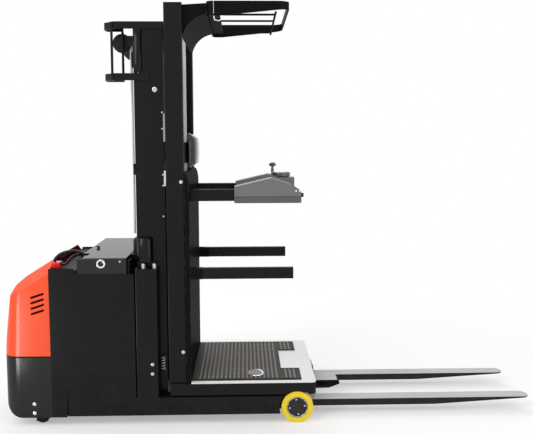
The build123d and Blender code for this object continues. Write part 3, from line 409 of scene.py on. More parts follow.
NODE_FINISH = {
    satin_black: (
        "base_leg_left", "base_leg_right", "chassis_frame", "box_panels", "mast_feet", "lift_barrels",
        "cab_frame", "cab_carriage", "deck_frame", "console_beams", "gate_left", "gate_right",
        "castor_fork_left", "castor_fork_right",
    ),
    guard_black: ("overhead_guard", "cab_housing"),
    mast_black: ("mast_rails", "inner_mast"),
    lid_black: ("battery_lid",),
    cage_black: ("hose_cage",),
    shell_black: ("lower_shell",),
    hood_orange: ("drive_hood",),
    battery_grey: ("battery",),
    cable_black: ("battery_leads",),
    signal_red: ("battery_connector",),
    cast_grey: ("drive_yoke", "drive_motor"),
    sheave_black: ("hose_pulleys",),
    drive_rubber: ("drive_tyre",),
    castor_rubber: ("castor_wheel_left", "castor_wheel_right"),
    yellow_tread: ("load_tyre_left", "load_tyre_right"),
    hub_black: ("load_hub_left", "load_hub_right"),
    deck_steel: ("deck_plate",),
    mat_black: ("deck_mat",),
    console_grey: ("console_left", "console_right"),
    control_black: ("control_knob", "foot_switch"),
    wheel_grey: ("steering_wheel",),
    fork_black: ("fork_left", "fork_right", "pallet_clamp"),
    vinyl: ("back_cushion",),
}
for material, names in NODE_FINISH.items():
    for name in names:
        mesh = nodes[name].data
        mesh.materials.clear()
        mesh.materials.append(material)


# Piece makers

def dress(piece, body, material=None):
    """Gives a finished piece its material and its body."""
    if material:
        piece.data.materials.clear()
        piece.data.materials.append(material)
    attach(piece, body)


def piece_from(name, build):
    """Object from a function that fills a bmesh."""
    shape = bmesh.new()
    build(shape)
    bmesh.ops.remove_doubles(shape, verts=shape.verts, dist=1e-6)
    bmesh.ops.recalc_face_normals(shape, faces=shape.faces)
    mesh = bpy.data.meshes.new(name)
    shape.to_mesh(mesh)
    shape.free()
    piece = bpy.data.objects.new(name, mesh)
    scene.collection.objects.link(piece)
    return piece


def add_slab(shape, low, high, bevel=0.001):
    """Box with small rounded edges between two corners."""
    low, high = [Vector(map(f, low, high)) for f in (min, max)]
    made = bmesh.ops.create_cube(shape, size=1.0)["verts"]
    for vert in made:
        vert.co = Vector(((low[i] + high[i]) / 2 + vert.co[i] * (high[i] - low[i])) for i in range(3))
    edges = {edge for vert in made for edge in vert.link_edges}
    bmesh.ops.bevel(shape, geom=list(edges), offset=bevel, segments=2, affect="EDGES", profile=0.5)


def bridge(shape, rows, closed=True):
    """Faces between neighbouring rows of vertices; closed rows are rings."""
    for one, two in zip(rows, rows[1:]):
        for i in range(len(one) if closed else len(one) - 1):
            j = (i + 1) % len(one)
            shape.faces.new((one[i], one[j], two[j], two[i]))


def add_lathe(shape, profile, centre, axis, segments):
    """Turns (distance along the axis, radius) pairs round an axis through centre."""
    turn = Vector((0, 0, 1)).rotation_difference(Vector(axis)).to_matrix()
    rings = []
    for along, radius in profile:
        steps = segments if radius > 0 else 1
        rings.append([
            shape.verts.new(Vector(centre) + turn @ Vector((
                radius * math.cos(2 * math.pi * i / segments),
                radius * math.sin(2 * math.pi * i / segments),
                along,
            )))
            for i in range(steps)
        ])
    for one, two in zip(rings, rings[1:]):
        for i in range(segments):
            ahead = i + 1
            corners = list(dict.fromkeys((
                one[i % len(one)], one[ahead % len(one)], two[ahead % len(two)], two[i % len(two)],
            )))
            if len(corners) > 2:
                shape.faces.new(corners)


def add_tube(shape, points, radius, segments):
    """Round bar or wire along points, closed at both ends."""
    rings = []
    side = None
    for i, point in enumerate(points):
        ahead = Vector(points[min(i + 1, len(points) - 1)]) - Vector(points[max(i - 1, 0)])
        ahead.normalize()
        if side is None:
            side = ahead.orthogonal().normalized()
        side = (side - ahead * side.dot(ahead)).normalized()
        other = ahead.cross(side)
        rings.append([
            shape.verts.new(Vector(point) + radius * (
                side * math.cos(2 * math.pi * k / segments) + other * math.sin(2 * math.pi * k / segments)))
            for k in range(segments)
        ])
    bridge(shape, rings)
    shape.faces.new(reversed(rings[0]))
    shape.faces.new(rings[-1])


def applied(piece):
    """Plain mesh of a piece with its modifiers applied."""
    bpy.context.view_layer.update()
    return bpy.data.meshes.new_from_object(piece.evaluated_get(bpy.context.evaluated_depsgraph_get()))


def shade_smooth(piece, angle=35):
    """Smooth shading, with sharp edges past the angle in degrees."""
    piece.data.shade_smooth()
    piece.data.set_sharp_from_angle(angle=math.radians(angle))


def make(name, build, body, slot, material, smooth=None):
    """Piece from a function that fills a bmesh, smoothed past an angle if one is given, and dressed."""
    piece = piece_from(name, build)
    if smooth:
        shade_smooth(piece, smooth)
    dress(piece, body, material)


def make_slab(name, low, high, bevel, *dressing):
    make(name, lambda shape: add_slab(shape, low, high, bevel), *dressing)


def make_turned(name, profile, centre, axis, segments, *dressing):
    make(name, lambda shape: add_lathe(shape, profile, centre, axis, segments), *dressing)


# Geometry Nodes

def geometry_tree(name, inputs):
    """Tree that takes points and gives one mesh."""
    return new_tree(
        name,
        "GeometryNodeTree",
        (("Points", "NodeSocketGeometry", None), *inputs),
        (("Geometry", "NodeSocketGeometry"),),
    )


def faces_up(tree):
    """Selects the faces that look along +Z."""
    normal = place(tree, "GeometryNodeInputNormal").outputs["Normal"]
    up = place(tree, "ShaderNodeSeparateXYZ", {"Vector": normal}).outputs["Z"]
    return place(tree, "FunctionNodeCompare", {"A": up, "B": 0.9}, operation="GREATER_THAN").outputs["Result"]


def grow(tree, mesh, selection, rise, scale):
    """Extrudes the selected faces and scales what comes out."""
    out = place(tree, "GeometryNodeExtrudeMesh", {"Mesh": mesh, "Selection": selection, "Offset Scale": rise})
    scaled = place(tree, "GeometryNodeScaleElements", {
        "Geometry": out.outputs["Mesh"], "Selection": out.outputs["Top"], "Scale": scale,
    })
    return scaled.outputs["Geometry"], out.outputs["Top"]


def scatter(tree, given, shape, result):
    """Puts the shape on every point, turned to the axis, as a plain mesh."""
    turn = place(tree, "FunctionNodeAlignRotationToVector", {"Vector": given["Axis"]}, axis="Z")
    spots = place(tree, "GeometryNodeInstanceOnPoints", {
        "Points": given["Points"], "Instance": shape, "Rotation": turn.outputs["Rotation"],
    })
    solid = place(tree, "GeometryNodeRealizeInstances", {"Geometry": spots.outputs["Instances"]})
    painted = place(tree, "GeometryNodeSetMaterial", {
        "Geometry": solid.outputs["Geometry"], "Material": given["Material"],
    })
    tree.links.new(painted.outputs["Geometry"], result["Geometry"])


def screw_tree():
    """Screw head with a chamfer and a socket, on every point."""
    tree, given, result = geometry_tree("screw heads", (
        ("Axis", "NodeSocketVector", (0.0, 0.0, 1.0)),
        ("Radius", "NodeSocketFloat", 0.01),
        ("Height", "NodeSocketFloat", 0.006),
        ("Sides", "NodeSocketInt", 24),
        ("Socket", "NodeSocketFloat", 0.5),
        ("Material", "NodeSocketMaterial", None),
    ))
    body = place(tree, "GeometryNodeMeshCylinder", {
        "Vertices": given["Sides"], "Radius": given["Radius"], "Depth": given["Height"],
    })
    lift = place(tree, "ShaderNodeCombineXYZ", {"Z": math_node(tree, "MULTIPLY", given["Height"], 0.5)})
    stand = place(tree, "GeometryNodeTransform", {
        "Geometry": body.outputs["Mesh"], "Translation": lift.outputs["Vector"],
    })
    chamfer = math_node(tree, "MULTIPLY", given["Height"], 0.25)
    depth = math_node(tree, "MULTIPLY", given["Height"], -0.6)
    mesh, top = grow(tree, stand.outputs["Geometry"], faces_up(tree), chamfer, 0.84)
    mesh, top = grow(tree, mesh, top, 0.0, given["Socket"])
    mesh, top = grow(tree, mesh, top, depth, 0.95)
    scatter(tree, given, mesh, result)
    return tree


def rib_tree():
    """Bar with a narrower top, on every point."""
    tree, given, result = geometry_tree("mat ribs", (
        ("Axis", "NodeSocketVector", (0.0, 0.0, 1.0)),
        ("Size", "NodeSocketVector", (0.01, 0.5, 0.002)),
        ("Top", "NodeSocketFloat", 0.6),
        ("Material", "NodeSocketMaterial", None),
    ))
    bar = place(tree, "GeometryNodeMeshCube", {"Size": given["Size"]})
    narrow = place(tree, "GeometryNodeScaleElements", {
        "Geometry": bar.outputs["Mesh"], "Selection": faces_up(tree), "Scale": given["Top"],
        "Axis": (1.0, 0.0, 0.0),
    }, scale_mode="SINGLE_AXIS")
    scatter(tree, given, narrow.outputs["Geometry"], result)
    return tree


def on_points(name, tree, points, values):
    """Runs a tree on loose points and returns the plain mesh object."""
    mesh = bpy.data.meshes.new(name)
    mesh.from_pydata([tuple(p) for p in points], [], [])
    piece = bpy.data.objects.new(name, mesh)
    scene.collection.objects.link(piece)
    modifier = piece.modifiers.new("nodes", "NODES")
    modifier.node_group = tree
    for item in tree.interface.items_tree:
        if item.in_out == "INPUT" and item.name in values:
            modifier[item.identifier] = values[item.name]
    made = applied(piece)
    piece.modifiers.remove(modifier)
    piece.data = made
    made.name = name
    return piece


SCREWS = screw_tree()
RIBS = rib_tree()


def screws(name, points, axis, radius, height, body, material=zinc, slot="zinc_steel", sides=24,
           socket=0.5):
    """One row of screw heads as a single piece."""
    piece = on_points(name, SCREWS, points, {
        "Axis": axis, "Radius": radius, "Height": height, "Sides": sides, "Socket": socket,
        "Material": material,
    })
    shade_smooth(piece)
    dress(piece, body)


# Sizes that several pieces share, in metres

HALF_WIDTH = 0.440
RAIL_Y = 0.360
WHEEL_Y = 0.2975
UP = (0.0, 0.0, 1.0)


# Deck mat: ribs behind the notch and on each side of it, a raised border, and strips to the housing

RIB_PITCH, RIB_WIDTH, RIB_HEIGHT = 0.024, 0.012, 0.0024
NOTCH_X, NOTCH_HALF = 0.045, 0.195
MARGIN = 0.012
BORDER = 0.008
HOUSING_X = -0.460
mat_low, mat_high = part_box("deck_mat")
mat_half = mat_high.y


def ribs(name, x_from, x_to, y_from, y_to):
    """Ribs across the truck at an even pitch, centred between x_from and x_to."""
    count = int((x_to - x_from) / RIB_PITCH)
    start = (x_from + x_to - (count - 1) * RIB_PITCH) / 2
    middle = (y_from + y_to) / 2
    points = [(start + i * RIB_PITCH, middle, mat_high.z + RIB_HEIGHT / 4) for i in range(count)]
    piece = on_points(name, RIBS, points, {
        "Axis": UP, "Size": (RIB_WIDTH, y_to - y_from, RIB_HEIGHT), "Top": 0.6, "Material": rib_tan,
    })
    dress(piece, "cab")


ribs("mat_ribs_middle", mat_low.x + MARGIN, NOTCH_X - MARGIN, -mat_half + MARGIN, mat_half - MARGIN)
ribs("mat_ribs_left", NOTCH_X, mat_high.x - MARGIN, NOTCH_HALF + MARGIN, mat_half - MARGIN)
ribs("mat_ribs_right", NOTCH_X, mat_high.x - MARGIN, -mat_half + MARGIN, -NOTCH_HALF - MARGIN)


def mat_border(shape):
    """Raised rim that follows the mat's outline and its notch."""
    outline = [
        (mat_low.x, -mat_half), (mat_high.x, -mat_half), (mat_high.x, -NOTCH_HALF), (NOTCH_X, -NOTCH_HALF),
        (NOTCH_X, NOTCH_HALF), (mat_high.x, NOTCH_HALF), (mat_high.x, mat_half), (mat_low.x, mat_half),
    ]
    for i, (x0, y0) in enumerate(outline):
        x1, y1 = outline[(i + 1) % len(outline)]
        inward = Vector((-(y1 - y0), x1 - x0, 0)).normalized() * BORDER
        low = (min(x0, x1, x0 + inward.x), min(y0, y1, y0 + inward.y), mat_high.z - 0.0002)
        high = (max(x0, x1, x0 + inward.x), max(y0, y1, y0 + inward.y), mat_high.z + 0.002)
        add_slab(shape, low, high, 0.0006)


def mat_rear(shape):
    """Thin rubber strips from the mat back to the housing and out towards the deck's sides."""
    low_z, top_z = mat_high.z - 0.0035, mat_high.z - 0.0005
    add_slab(shape, (HOUSING_X, -mat_half, low_z), (mat_low.x, mat_half, top_z), 0.0005)
    for _, sign in SIDES:
        add_slab(shape, (HOUSING_X, sign * mat_half, low_z),
                 (mat_high.x, sign * (mat_half + 0.010), top_z), 0.0005)


for name, build in (("mat_border", mat_border), ("mat_rear", mat_rear)):
    make(name, build, "cab", "mat_rubber", mat_black)


# Hood: a copy whose rear face leans in a little more towards the top

SHOULDER_Z = 0.86
LEAN_FROM_X, LEAN_RUN, LEAN = -1.30, 0.14, 0.024


def hood_form():
    source = nodes["drive_hood"]
    mesh = source.data.copy()
    mesh.transform(source.matrix_world)
    piece = bpy.data.objects.new("hood_skin", mesh)
    scene.collection.objects.link(piece)
    foot_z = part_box("drive_hood")[0].z
    shape = bmesh.new()
    shape.from_mesh(mesh)
    for vert in shape.verts:
        rise = (vert.co.z - foot_z) / (SHOULDER_Z - foot_z)
        back = min(max((LEAN_FROM_X - vert.co.x) / LEAN_RUN, 0.0), 1.0)
        vert.co.x += LEAN * min(rise, 1.0) * back * back * (3 - 2 * back)
    shape.to_mesh(mesh)
    shape.free()
    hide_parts("drive_hood")
    dress(piece, "chassis", hood_orange)


hood_form()


# Screws and bolts: heads as (x, distance from the middle, z); an axis of None looks out to the side

SCREW_ROWS = (
    ("shell_screws", [(-1.32, HALF_WIDTH, z) for z in (0.128, 0.077)], None, 0.010, 0.004, "chassis", {}),
    ("foot_screws", [(-0.671, HALF_WIDTH, 0.343), (-0.672, HALF_WIDTH, 0.290)], None, 0.009, 0.003,
     "chassis", {}),
    ("foot_bolts", [(x, 0.405, 0.870) for x in (-0.717, -0.656)], UP, 0.013, 0.022, "chassis", {"sides": 6}),
    ("mast_bolt", [(-0.643, RAIL_Y, 1.84)], None, 0.014, 0.005, "chassis", {}),
    ("lid_screw", [(-0.838, HALF_WIDTH, 0.915)], None, 0.005, 0.0025, "lid", {}),
    ("cab_bolts", [(-0.503, 0.424, z) for z in (0.406, 1.343)], None, 0.0095, 0.004, "cab", {"socket": 0.3}),
)
HUB_BOLT_CIRCLE = 0.042
HUB_BOLTS = 4
HUB_BOLT_TURN = 8
HUB_FACE_Y, HUB_CAP_Y = 0.4271, 0.4346


def hub_middle(side):
    low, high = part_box(f"load_hub_{side}")
    return (low + high) / 2


for side, sign in SIDES:
    out = (0.0, sign, 0.0)
    for name, spots, axis, radius, height, body, options in SCREW_ROWS:
        points = [(x, sign * y, z) for x, y, z in spots]
        screws(f"{name}_{side}", points, axis or out, radius, height, body, **options)
    hub = hub_middle(side)
    turns = [math.radians(HUB_BOLT_TURN + 360 / HUB_BOLTS * i) for i in range(HUB_BOLTS)]
    bolts = [
        (hub.x + HUB_BOLT_CIRCLE * math.cos(a), sign * HUB_FACE_Y, hub.z + HUB_BOLT_CIRCLE * math.sin(a))
        for a in turns
    ]
    screws(f"hub_bolts_{side}", bolts, out, 0.0058, 0.004, f"load_wheel_{side}", sides=6, socket=0.01)


# Load wheels: cap over the axle's end, and a machined ring at the hub's edge

CAP_PROFILE = (
    (0.0, 0.0), (0.0, 0.016), (0.0016, 0.0172), (0.0016, 0.0190), (0.0, 0.0202), (-0.001, 0.024),
    (-0.006, 0.024),
)
RIM_PROFILE = ((-0.001, 0.0530), (0.0003, 0.0532), (0.0012, 0.0545), (0.0003, 0.0558), (-0.001, 0.0560))
for side, sign in SIDES:
    hub = hub_middle(side)
    face = max(abs(corner.y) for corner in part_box(f"load_hub_{side}"))
    out, body = (0, sign, 0), f"load_wheel_{side}"
    make_turned(f"hub_cap_{side}", CAP_PROFILE, (hub.x, sign * HUB_CAP_Y, hub.z), out, 32,
                body, "hub_paint", hub_black, 35)
    make_turned(f"hub_rim_{side}", RIM_PROFILE, (hub.x, sign * face, hub.z), out, 64,
                body, "hub_paint", chrome, 60)


# Lid: chrome ring round a dark plug in the grip hole on each end

RING_PROFILE = ((-0.0005, 0.0150), (0.0012, 0.0155), (0.0024, 0.0190), (0.0012, 0.0235), (-0.0005, 0.0245))
PLUG_PROFILE = ((0.0004, 0.0), (0.0004, 0.0150), (-0.0006, 0.0152))
for side, sign in SIDES:
    hole, out = (-0.941, sign * HALF_WIDTH, 0.903), (0, sign, 0)
    make_turned(f"lid_ring_{side}", RING_PROFILE, hole, out, 40, "lid", "chrome_trim", chrome, 35)
    make_turned(f"lid_plug_{side}", PLUG_PROFILE, hole, out, 40, "lid", "control_plastic", control_black)


# Back cushion, swollen by a cloth simulation

PAD_INSET = (0.010, 0.012, 0.014)
PAD_EDGE, PAD_VOXEL = 0.0185, 0.005
PAD_PRESSURE, PAD_FRAMES, PAD_SWELL = 4.0, 20, 0.010
PAD_DEPTH, CROWN_ACROSS, CROWN_UP = 1.16, 0.62, 0.42


def cushion():
    low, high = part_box("back_cushion")
    size = high - low
    middle = (low + high) / 2

    def build(shape):
        for vert in bmesh.ops.create_cube(shape, size=1.0)["verts"]:
            vert.co = Vector(middle[i] + vert.co[i] * (size[i] - PAD_INSET[i]) for i in range(3))
        bmesh.ops.bevel(shape, geom=shape.edges[:], offset=PAD_EDGE, segments=5, affect="EDGES", profile=0.5)

    piece = piece_from("back_pad", build)
    remesh = piece.modifiers.new("remesh", "REMESH")
    remesh.mode = "VOXEL"
    remesh.voxel_size = PAD_VOXEL
    fine = applied(piece)
    piece.modifiers.remove(remesh)
    piece.data = fine
    rest = [vert.co.copy() for vert in fine.vertices]
    cloth = piece.modifiers.new("cloth", "CLOTH")
    cloth.settings.use_pressure = True
    cloth.settings.uniform_pressure_force = PAD_PRESSURE
    cloth.settings.effector_weights.gravity = 0.0
    cloth.collision_settings.use_collision = False
    for step in range(PAD_FRAMES):
        scene.frame_set(step + 1)
    swollen = applied(piece)
    piece.modifiers.remove(cloth)
    scene.frame_set(1)
    for vert, start in zip(swollen.vertices, rest):
        move = vert.co - start
        if move.length > PAD_SWELL:
            move = move.normalized() * PAD_SWELL
        vert.co = start + move
        across, upward = (min(abs(2 * (vert.co[i] - middle[i]) / size[i]), 1.0) for i in (1, 2))
        crown = (1 - CROWN_ACROSS * across ** 4) * (1 - CROWN_UP * upward ** 4)
        vert.co.x = low.x + max(vert.co.x - low.x, 0.0) * crown * PAD_DEPTH
    piece.data = swollen
    smooth = piece.modifiers.new("smooth", "SUBSURF")
    smooth.levels = smooth.render_levels = 1
    shade_smooth(piece, 180)
    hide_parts("back_cushion")
    dress(piece, "cab", vinyl)


cushion()


# Consoles: a dark parting line round each, with a darker band under it

CONSOLE_Y = (0.235, 0.360)
PARTING_Z, PARTING_TOP_Z = 1.2550, 1.2575
PROUD = 0.0006
for side, sign in SIDES:
    low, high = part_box(f"console_{side}")
    near, far = sorted(sign * y for y in CONSOLE_Y)
    make_slab(f"console_line_{side}", (low.x - PROUD, near - PROUD, PARTING_Z),
              (high.x + PROUD, far + PROUD, PARTING_TOP_Z), 0.0004, "cab", "control_plastic", control_black)
    make_slab(f"console_band_{side}", (low.x - PROUD / 2, near - PROUD / 2, low.z + 0.001),
              (high.x + PROUD / 2, far + PROUD / 2, PARTING_Z), 0.0004, "cab", "console_plastic", band_grey)


def nose_panel(shape):
    """Black panel on the right console's sloping front."""
    crest, foot = Vector((0.0945, 0, 1.3235)), Vector((0.1495, 0, 1.2862))
    along = (foot - crest).normalized()
    up = Vector((-along.z, 0, along.x))
    start, end = crest + along * 0.003, foot - along * 0.001
    corners = [start + up * 0.0004, end + up * 0.0004, end + up * 0.0022, start + up * 0.0022]
    rows = [[shape.verts.new((c.x, y, c.z)) for c in corners] for y in (-0.353, -0.242)]
    bridge(shape, rows)
    shape.faces.new(reversed(rows[0]))
    shape.faces.new(rows[1])


make("nose_panel", nose_panel, "cab", "control_plastic", control_black)
screws("nose_screws", [(x, -CONSOLE_Y[1], 1.288) for x in (0.122, 0.142)], (0.0, -1.0, 0.0), 0.0055, 0.003,
       "cab", material=chrome, slot="chrome_trim")


# Steering disc: chrome ring at the spinner's foot, and a domed cover round the disc

SPINNER_PROFILE = ((0.0, 0.0120), (0.0016, 0.0135), (0.0030, 0.0128), (0.0034, 0.0105))
COVER_PROFILE = (
    (0.0, 0.0580), (0.0020, 0.0615), (0.0200, 0.0628), (0.0250, 0.0605), (0.0290, 0.0500), (0.0310, 0.0),
)
make_turned("spinner_ring", SPINNER_PROFILE, (0.016, WHEEL_Y, 1.3680), UP, 24,
            "cab", "chrome_trim", chrome, 35)
make_turned("wheel_cover", COVER_PROFILE, (0.067, WHEEL_Y, 1.3395), UP, 48,
            "cab", "control_plastic", wheel_grey, 50)


# Pale strips inside the cab posts: painted highlights along the posts' inner edges

for side, sign in SIDES:
    make_slab(f"post_highlight_strip_{side}", (-0.575, sign * 0.3722, 1.345), (-0.529, sign * 0.3692, 2.225), 0.0008,
              "cab", "zinc_steel", pale_strip)


# Foot switch: dark oval pad with a chrome arc and a red lamp

SWITCH_X, SWITCH_Y = 0.050, 0.069
PAD_STEPS, ARC_STEPS = 40, 24
ARC_FROM, ARC_TURN = -115, 200
switch_low, switch_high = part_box("foot_switch")
switch_mid = (switch_low + switch_high) / 2


def switch_point(shape, angle, inset, rise):
    """Point at an angle on the switch's oval, moved in and up."""
    return shape.verts.new((
        switch_mid.x + (SWITCH_X - inset) * math.cos(angle),
        switch_mid.y + (SWITCH_Y - inset) * math.sin(angle),
        switch_high.z + rise,
    ))


def switch_pad(shape):
    angles = [2 * math.pi * i / PAD_STEPS for i in range(PAD_STEPS)]
    profile = ((0.010, -0.0004), (0.0108, 0.0012), (0.030, 0.0012))
    rows = [[switch_point(shape, a, inset, rise) for a in angles] for inset, rise in profile]
    bridge(shape, rows)
    shape.faces.new(rows[-1])


def switch_arc(shape):
    angles = [math.radians(ARC_FROM + ARC_TURN * i / ARC_STEPS) for i in range(ARC_STEPS + 1)]
    profile = ((0.0075, 0.0), (0.0085, 0.0022), (0.0125, 0.0026), (0.0140, 0.0010))
    rows = [[switch_point(shape, a, inset, rise) for inset, rise in profile] for a in angles]
    bridge(shape, rows, closed=False)


make("switch_pad", switch_pad, "cab", "mat_rubber", control_black)
make("switch_arc", switch_arc, "cab", "chrome_trim", chrome, 60)
make_turned("switch_lamp", ((0.0, 0.0062), (0.0014, 0.0056), (0.0022, 0.0)),
            (switch_mid.x - 0.024, switch_mid.y - 0.006, switch_high.z + 0.001), UP, 20,
            "cab", "red_plastic", signal_red, 35)


# Overhead guard: a polished strip on each side as a painted highlight line, the plate over the head, and the
# loop for a lead

LOOP_Y = -0.409
for side, sign in SIDES:
    make_slab(f"guard_highlight_strip_{side}", (-0.3205, sign * 0.4144, 2.2315), (-0.3185, sign * 0.4153, 2.2965), 0.0003,
              "cab", "zinc_steel", highlight_metal)
make_slab("head_plate", (-0.359, -0.411, 2.236), (-0.288, 0.411, 2.241), 0.0006,
          "cab", "black_paint", guard_black)


def loop(shape):
    turn = [
        (-0.296 + 0.022 * math.cos(a), LOOP_Y, 2.212 + 0.014 * math.sin(a))
        for a in (math.radians(180 + 15 * i) for i in range(13))
    ]
    add_tube(shape, [(-0.318, LOOP_Y, 2.232), *turn, (-0.274, LOOP_Y, 2.232)], 0.0032, 10)


make("guard_loop", loop, "cab", "chrome_trim", chrome, 60)


# Strips screwed to the rails' front edges beside the cab posts

GUIDE_X = (-0.6010, -0.5905)
GUIDE_STRIPS = (("upper", 1.560, 1.712, strip_grey), ("lower", 1.318, 1.402, pale_strip))
GUIDE_SCREW_Z = (1.718, 1.630, 1.380, 1.321, 1.152)
for side, sign in SIDES:
    for end, low_z, high_z, finish in GUIDE_STRIPS:
        make_slab(f"guide_strip_{end}_{side}", (GUIDE_X[0], sign * RAIL_Y, low_z),
                  (GUIDE_X[1], sign * (RAIL_Y + 0.0018), high_z), 0.0006, "chassis", "zinc_steel", finish)
    screws(f"guide_screws_{side}", [(-0.606, sign * (RAIL_Y + 0.0004), z) for z in GUIDE_SCREW_Z],
           (0.0, sign, 0.0), 0.0042, 0.0035, "chassis", material=pale_strip, sides=12, socket=0.3)


# Coiled lead at the foot of the cab, on the right between the mast and the post

COILS, COIL_STEPS = 5, 14
COIL_RADIUS, COIL_LENGTH = 0.010, 0.075


def curled_lead(shape):
    points = []
    for i in range(COILS * COIL_STEPS + 1):
        angle = 2 * math.pi * i / COIL_STEPS
        points.append((
            -0.616 + COIL_RADIUS * math.cos(angle),
            -0.398 + COIL_RADIUS * math.sin(angle),
            0.300 + COIL_LENGTH * i / (COILS * COIL_STEPS),
        ))
    add_tube(shape, points, 0.0026, 8)


make("curled_lead_right", curled_lead, "chassis", "cable_rubber", lead_gloss, 60)


# Rounded covers on the mast's foot, and a black plate that closes each leg's rear end, painted shade standing
# in for the dark gap there

COVER_STEPS = 24
COVER_CORNER = 0.8
COVER_CHAMFER = 0.004


def rounded_cover(name, sign, middle_x, half, bulge, low_z, high_z):
    """Upright cover with a rounded plan on the rail's outer face."""
    def build(shape):
        rows = []
        for z, inset in ((low_z, 0.0), (high_z - COVER_CHAMFER, 0.0), (high_z, COVER_CHAMFER)):
            row = []
            for i in range(COVER_STEPS + 1):
                a = math.pi * i / COVER_STEPS
                across = math.copysign(abs(math.cos(a)) ** COVER_CORNER, math.cos(a))
                row.append(shape.verts.new((
                    middle_x - (half - inset) * across,
                    sign * (RAIL_Y + (bulge - inset) * math.sin(a) ** COVER_CORNER),
                    z,
                )))
            rows.append(row)
        bridge(shape, rows, closed=False)
        shape.faces.new(rows[-1])
        shape.faces.new(list(reversed(rows[0])))

    make(name, build, "chassis", "black_paint", cage_black, 50)


for side, sign in SIDES:
    rounded_cover(f"foot_cover_{side}", sign, -0.711, 0.045, 0.044, 0.905, 1.037)
    # Black plate in the gap behind each leg: painted shade.
    make_slab(f"leg_gap_shade_plate_{side}", (-1.1445, sign * 0.345, 0.057), (-1.1345, sign * 0.437, 0.153), 0.002,
              "chassis", "black_paint", guard_black)


# Polished strip on the rear flange of the outer rails: a painted highlight line

for side, sign in SIDES:
    make_slab(f"rail_highlight_line_{side}", (-0.7315, sign * 0.3596, 1.925), (-0.7295, sign * 0.3604, 2.160), 0.0003,
              "chassis", "mast_paint", highlight_metal)


# Knob on the lid, and the rounded guard on the right rail between the hose cage's straps

KNOB_PROFILE = ((0.0, 0.009), (0.006, 0.007), (0.008, 0.012), (0.013, 0.012), (0.015, 0.009), (0.015, 0.0))
make_turned("lid_knob", KNOB_PROFILE, (-1.030, -0.035, 0.9338), UP, 24,
            "lid", "control_plastic", control_black, 35)
rounded_cover("cage_cover", -1.0, -0.7325, 0.0225, 0.016, 1.935, 2.165)


# Hose runs behind the mast, straight from the chassis up to the inner mast

HOSE_X, HOSE_Y = -0.790, 0.19
HOSE_FOOT_Z, HOSE_TOP_Z = 1.04, 2.105
HOSE_RADIUS, HOSE_STEPS = 0.0075, 24


def hose_run(side, sign):
    foot, top = (Vector((HOSE_X, sign * HOSE_Y, z)) for z in (HOSE_FOOT_Z, HOSE_TOP_Z))
    points = [foot.lerp(top, i / HOSE_STEPS) for i in range(HOSE_STEPS + 1)]
    piece = piece_from(f"hose_run_{side}", lambda shape: add_tube(shape, points, HOSE_RADIUS, 12))
    shade_smooth(piece, 60)
    piece.data.materials.append(hose_grey)
    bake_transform(piece)


for side, sign in SIDES:
    hose_run(side, sign)


# Studio: the floor turns plain white away from the truck; the corner strip is a glint for paint only

FLOOR_REACH = 40.0
WHITE_NEAR, WHITE_FAR, WHITE_UNDER = 1.4, 3.4, 0.28
FLOOR_LIFT = 0.14
WORLD_LIGHT = 0.62
MIDDLE = (-0.3, 0.0, 0.9)
LAMPS = (
    ("key", (-3.4, -4.2, 4.6), (3.2, 3.2), 120.0, MIDDLE),
    ("fill", (3.6, -3.6, 2.6), (3.2, 3.2), 45.0, MIDDLE),
    ("back", (-1.0, 4.6, 4.2), (3.6, 3.6), 90.0, MIDDLE),
    ("edge strip", (-4.2, 0.3, 0.9), (0.5, 2.4), 22.0, MIDDLE),
    ("corner strip", (-1.92, -1.40, 0.22), (0.42, 0.6), 13.0, (-1.38, -0.43, 0.25)),
)


def clear_tree(owner):
    """Empty node tree of a world or material."""
    owner.use_nodes = True
    owner.node_tree.nodes.clear()
    return owner.node_tree


def seen_rays(tree, *kinds):
    """1 on the camera's rays and on the reflected or refracted kinds named."""
    path = place(tree, "ShaderNodeLightPath").outputs
    seen = path["Is Camera Ray"]
    for kind in kinds:
        seen = math_node(tree, "MAXIMUM", seen, path[kind])
    return seen


def backdrop():
    scene.world = bpy.data.worlds.new("studio")
    tree = clear_tree(scene.world)
    seen = seen_rays(tree, "Is Glossy Ray", "Is Transmission Ray")
    strength = math_node(tree, "MULTIPLY_ADD", seen, 1 - WORLD_LIGHT, WORLD_LIGHT)
    sky = place(tree, "ShaderNodeBackground", {"Color": rgba(1, 1, 1), "Strength": strength})
    place(tree, "ShaderNodeOutputWorld", {"Surface": sky.outputs["Background"]})


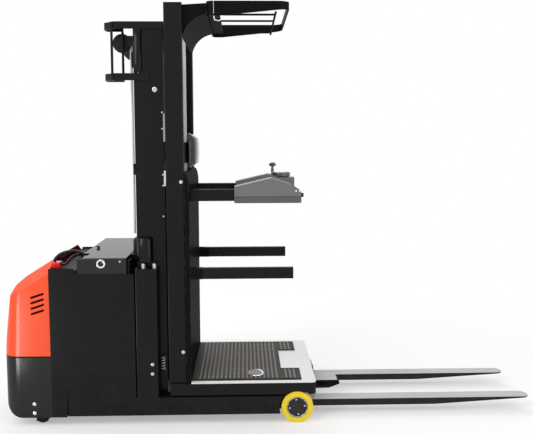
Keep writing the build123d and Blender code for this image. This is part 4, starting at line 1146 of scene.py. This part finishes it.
def floor_material():
    pale = bpy.data.materials.new("pale floor")
    tree = clear_tree(pale)
    seen = seen_rays(tree, "Is Glossy Ray")
    place_at = place(tree, "ShaderNodeTexCoord").outputs["Object"]
    distance = place(tree, "ShaderNodeVectorMath", {0: place_at}, operation="LENGTH").outputs["Value"]
    faded = spread(tree, distance, WHITE_NEAR, WHITE_FAR, WHITE_UNDER, 1.0)
    far = math_node(tree, "MULTIPLY", faded, seen)
    matt = place(tree, "ShaderNodeBsdfDiffuse", {"Color": rgba(0.93, 0.93, 0.93)})
    lift = place(tree, "ShaderNodeEmission", {
        "Color": rgba(1, 1, 1), "Strength": math_node(tree, "MULTIPLY", seen, FLOOR_LIFT),
    })
    near = place(tree, "ShaderNodeAddShader", {0: matt.outputs["BSDF"], 1: lift.outputs["Emission"]})
    white = place(tree, "ShaderNodeEmission", {"Color": rgba(1, 1, 1), "Strength": 1.0})
    joined = place(tree, "ShaderNodeMixShader", {
        0: far, 1: near.outputs["Shader"], 2: white.outputs["Emission"],
    })
    place(tree, "ShaderNodeOutputMaterial", {"Surface": joined.outputs["Shader"]})
    return pale


def floor():
    mesh = bpy.data.meshes.new("floor")
    corners = [(x * FLOOR_REACH, y * FLOOR_REACH, 0) for x, y in ((-1, -1), (1, -1), (1, 1), (-1, 1))]
    mesh.from_pydata(corners, [], [(0, 1, 2, 3)])
    mesh.materials.append(floor_material())
    ground = bpy.data.objects.new("floor", mesh)
    scene.collection.objects.link(ground)


def lamps():
    for name, spot, size, power, target in LAMPS:
        lamp = bpy.data.lights.new(name, "AREA")
        lamp.shape = "RECTANGLE"
        lamp.size, lamp.size_y = size
        lamp.energy = power
        light = bpy.data.objects.new(name, lamp)
        scene.collection.objects.link(light)
        light.visible_diffuse = name != "corner strip"
        light.location = spot
        light.rotation_euler = (Vector(target) - Vector(spot)).to_track_quat("-Z", "Y").to_euler()


# Camera, at the photo's place and angle

CAMERA_AT = (-0.159, -4.4894, 1.5518)
YAW, PITCH, ROLL = (math.radians(angle) for angle in (1.634, 5.628, -0.184))
FOCAL_LENGTH = 50.86


def camera():
    ahead = Vector((math.sin(YAW) * math.cos(PITCH), math.cos(YAW) * math.cos(PITCH), -math.sin(PITCH)))
    right = Vector((math.cos(YAW), -math.sin(YAW), 0))
    up = right.cross(ahead)
    x_axis = math.cos(ROLL) * right + math.sin(ROLL) * up
    y_axis = math.cos(ROLL) * up - math.sin(ROLL) * right
    lens = bpy.data.cameras.new("camera")
    lens.lens = FOCAL_LENGTH
    lens.sensor_width = 36.0
    eye = bpy.data.objects.new("camera", lens)
    scene.collection.objects.link(eye)
    turn = Matrix((x_axis, y_axis, -ahead)).transposed().to_4x4()
    eye.matrix_world = Matrix.Translation(CAMERA_AT) @ turn
    scene.camera = eye


backdrop()
floor()
lamps()
camera()
scene.view_settings.view_transform = "Standard"
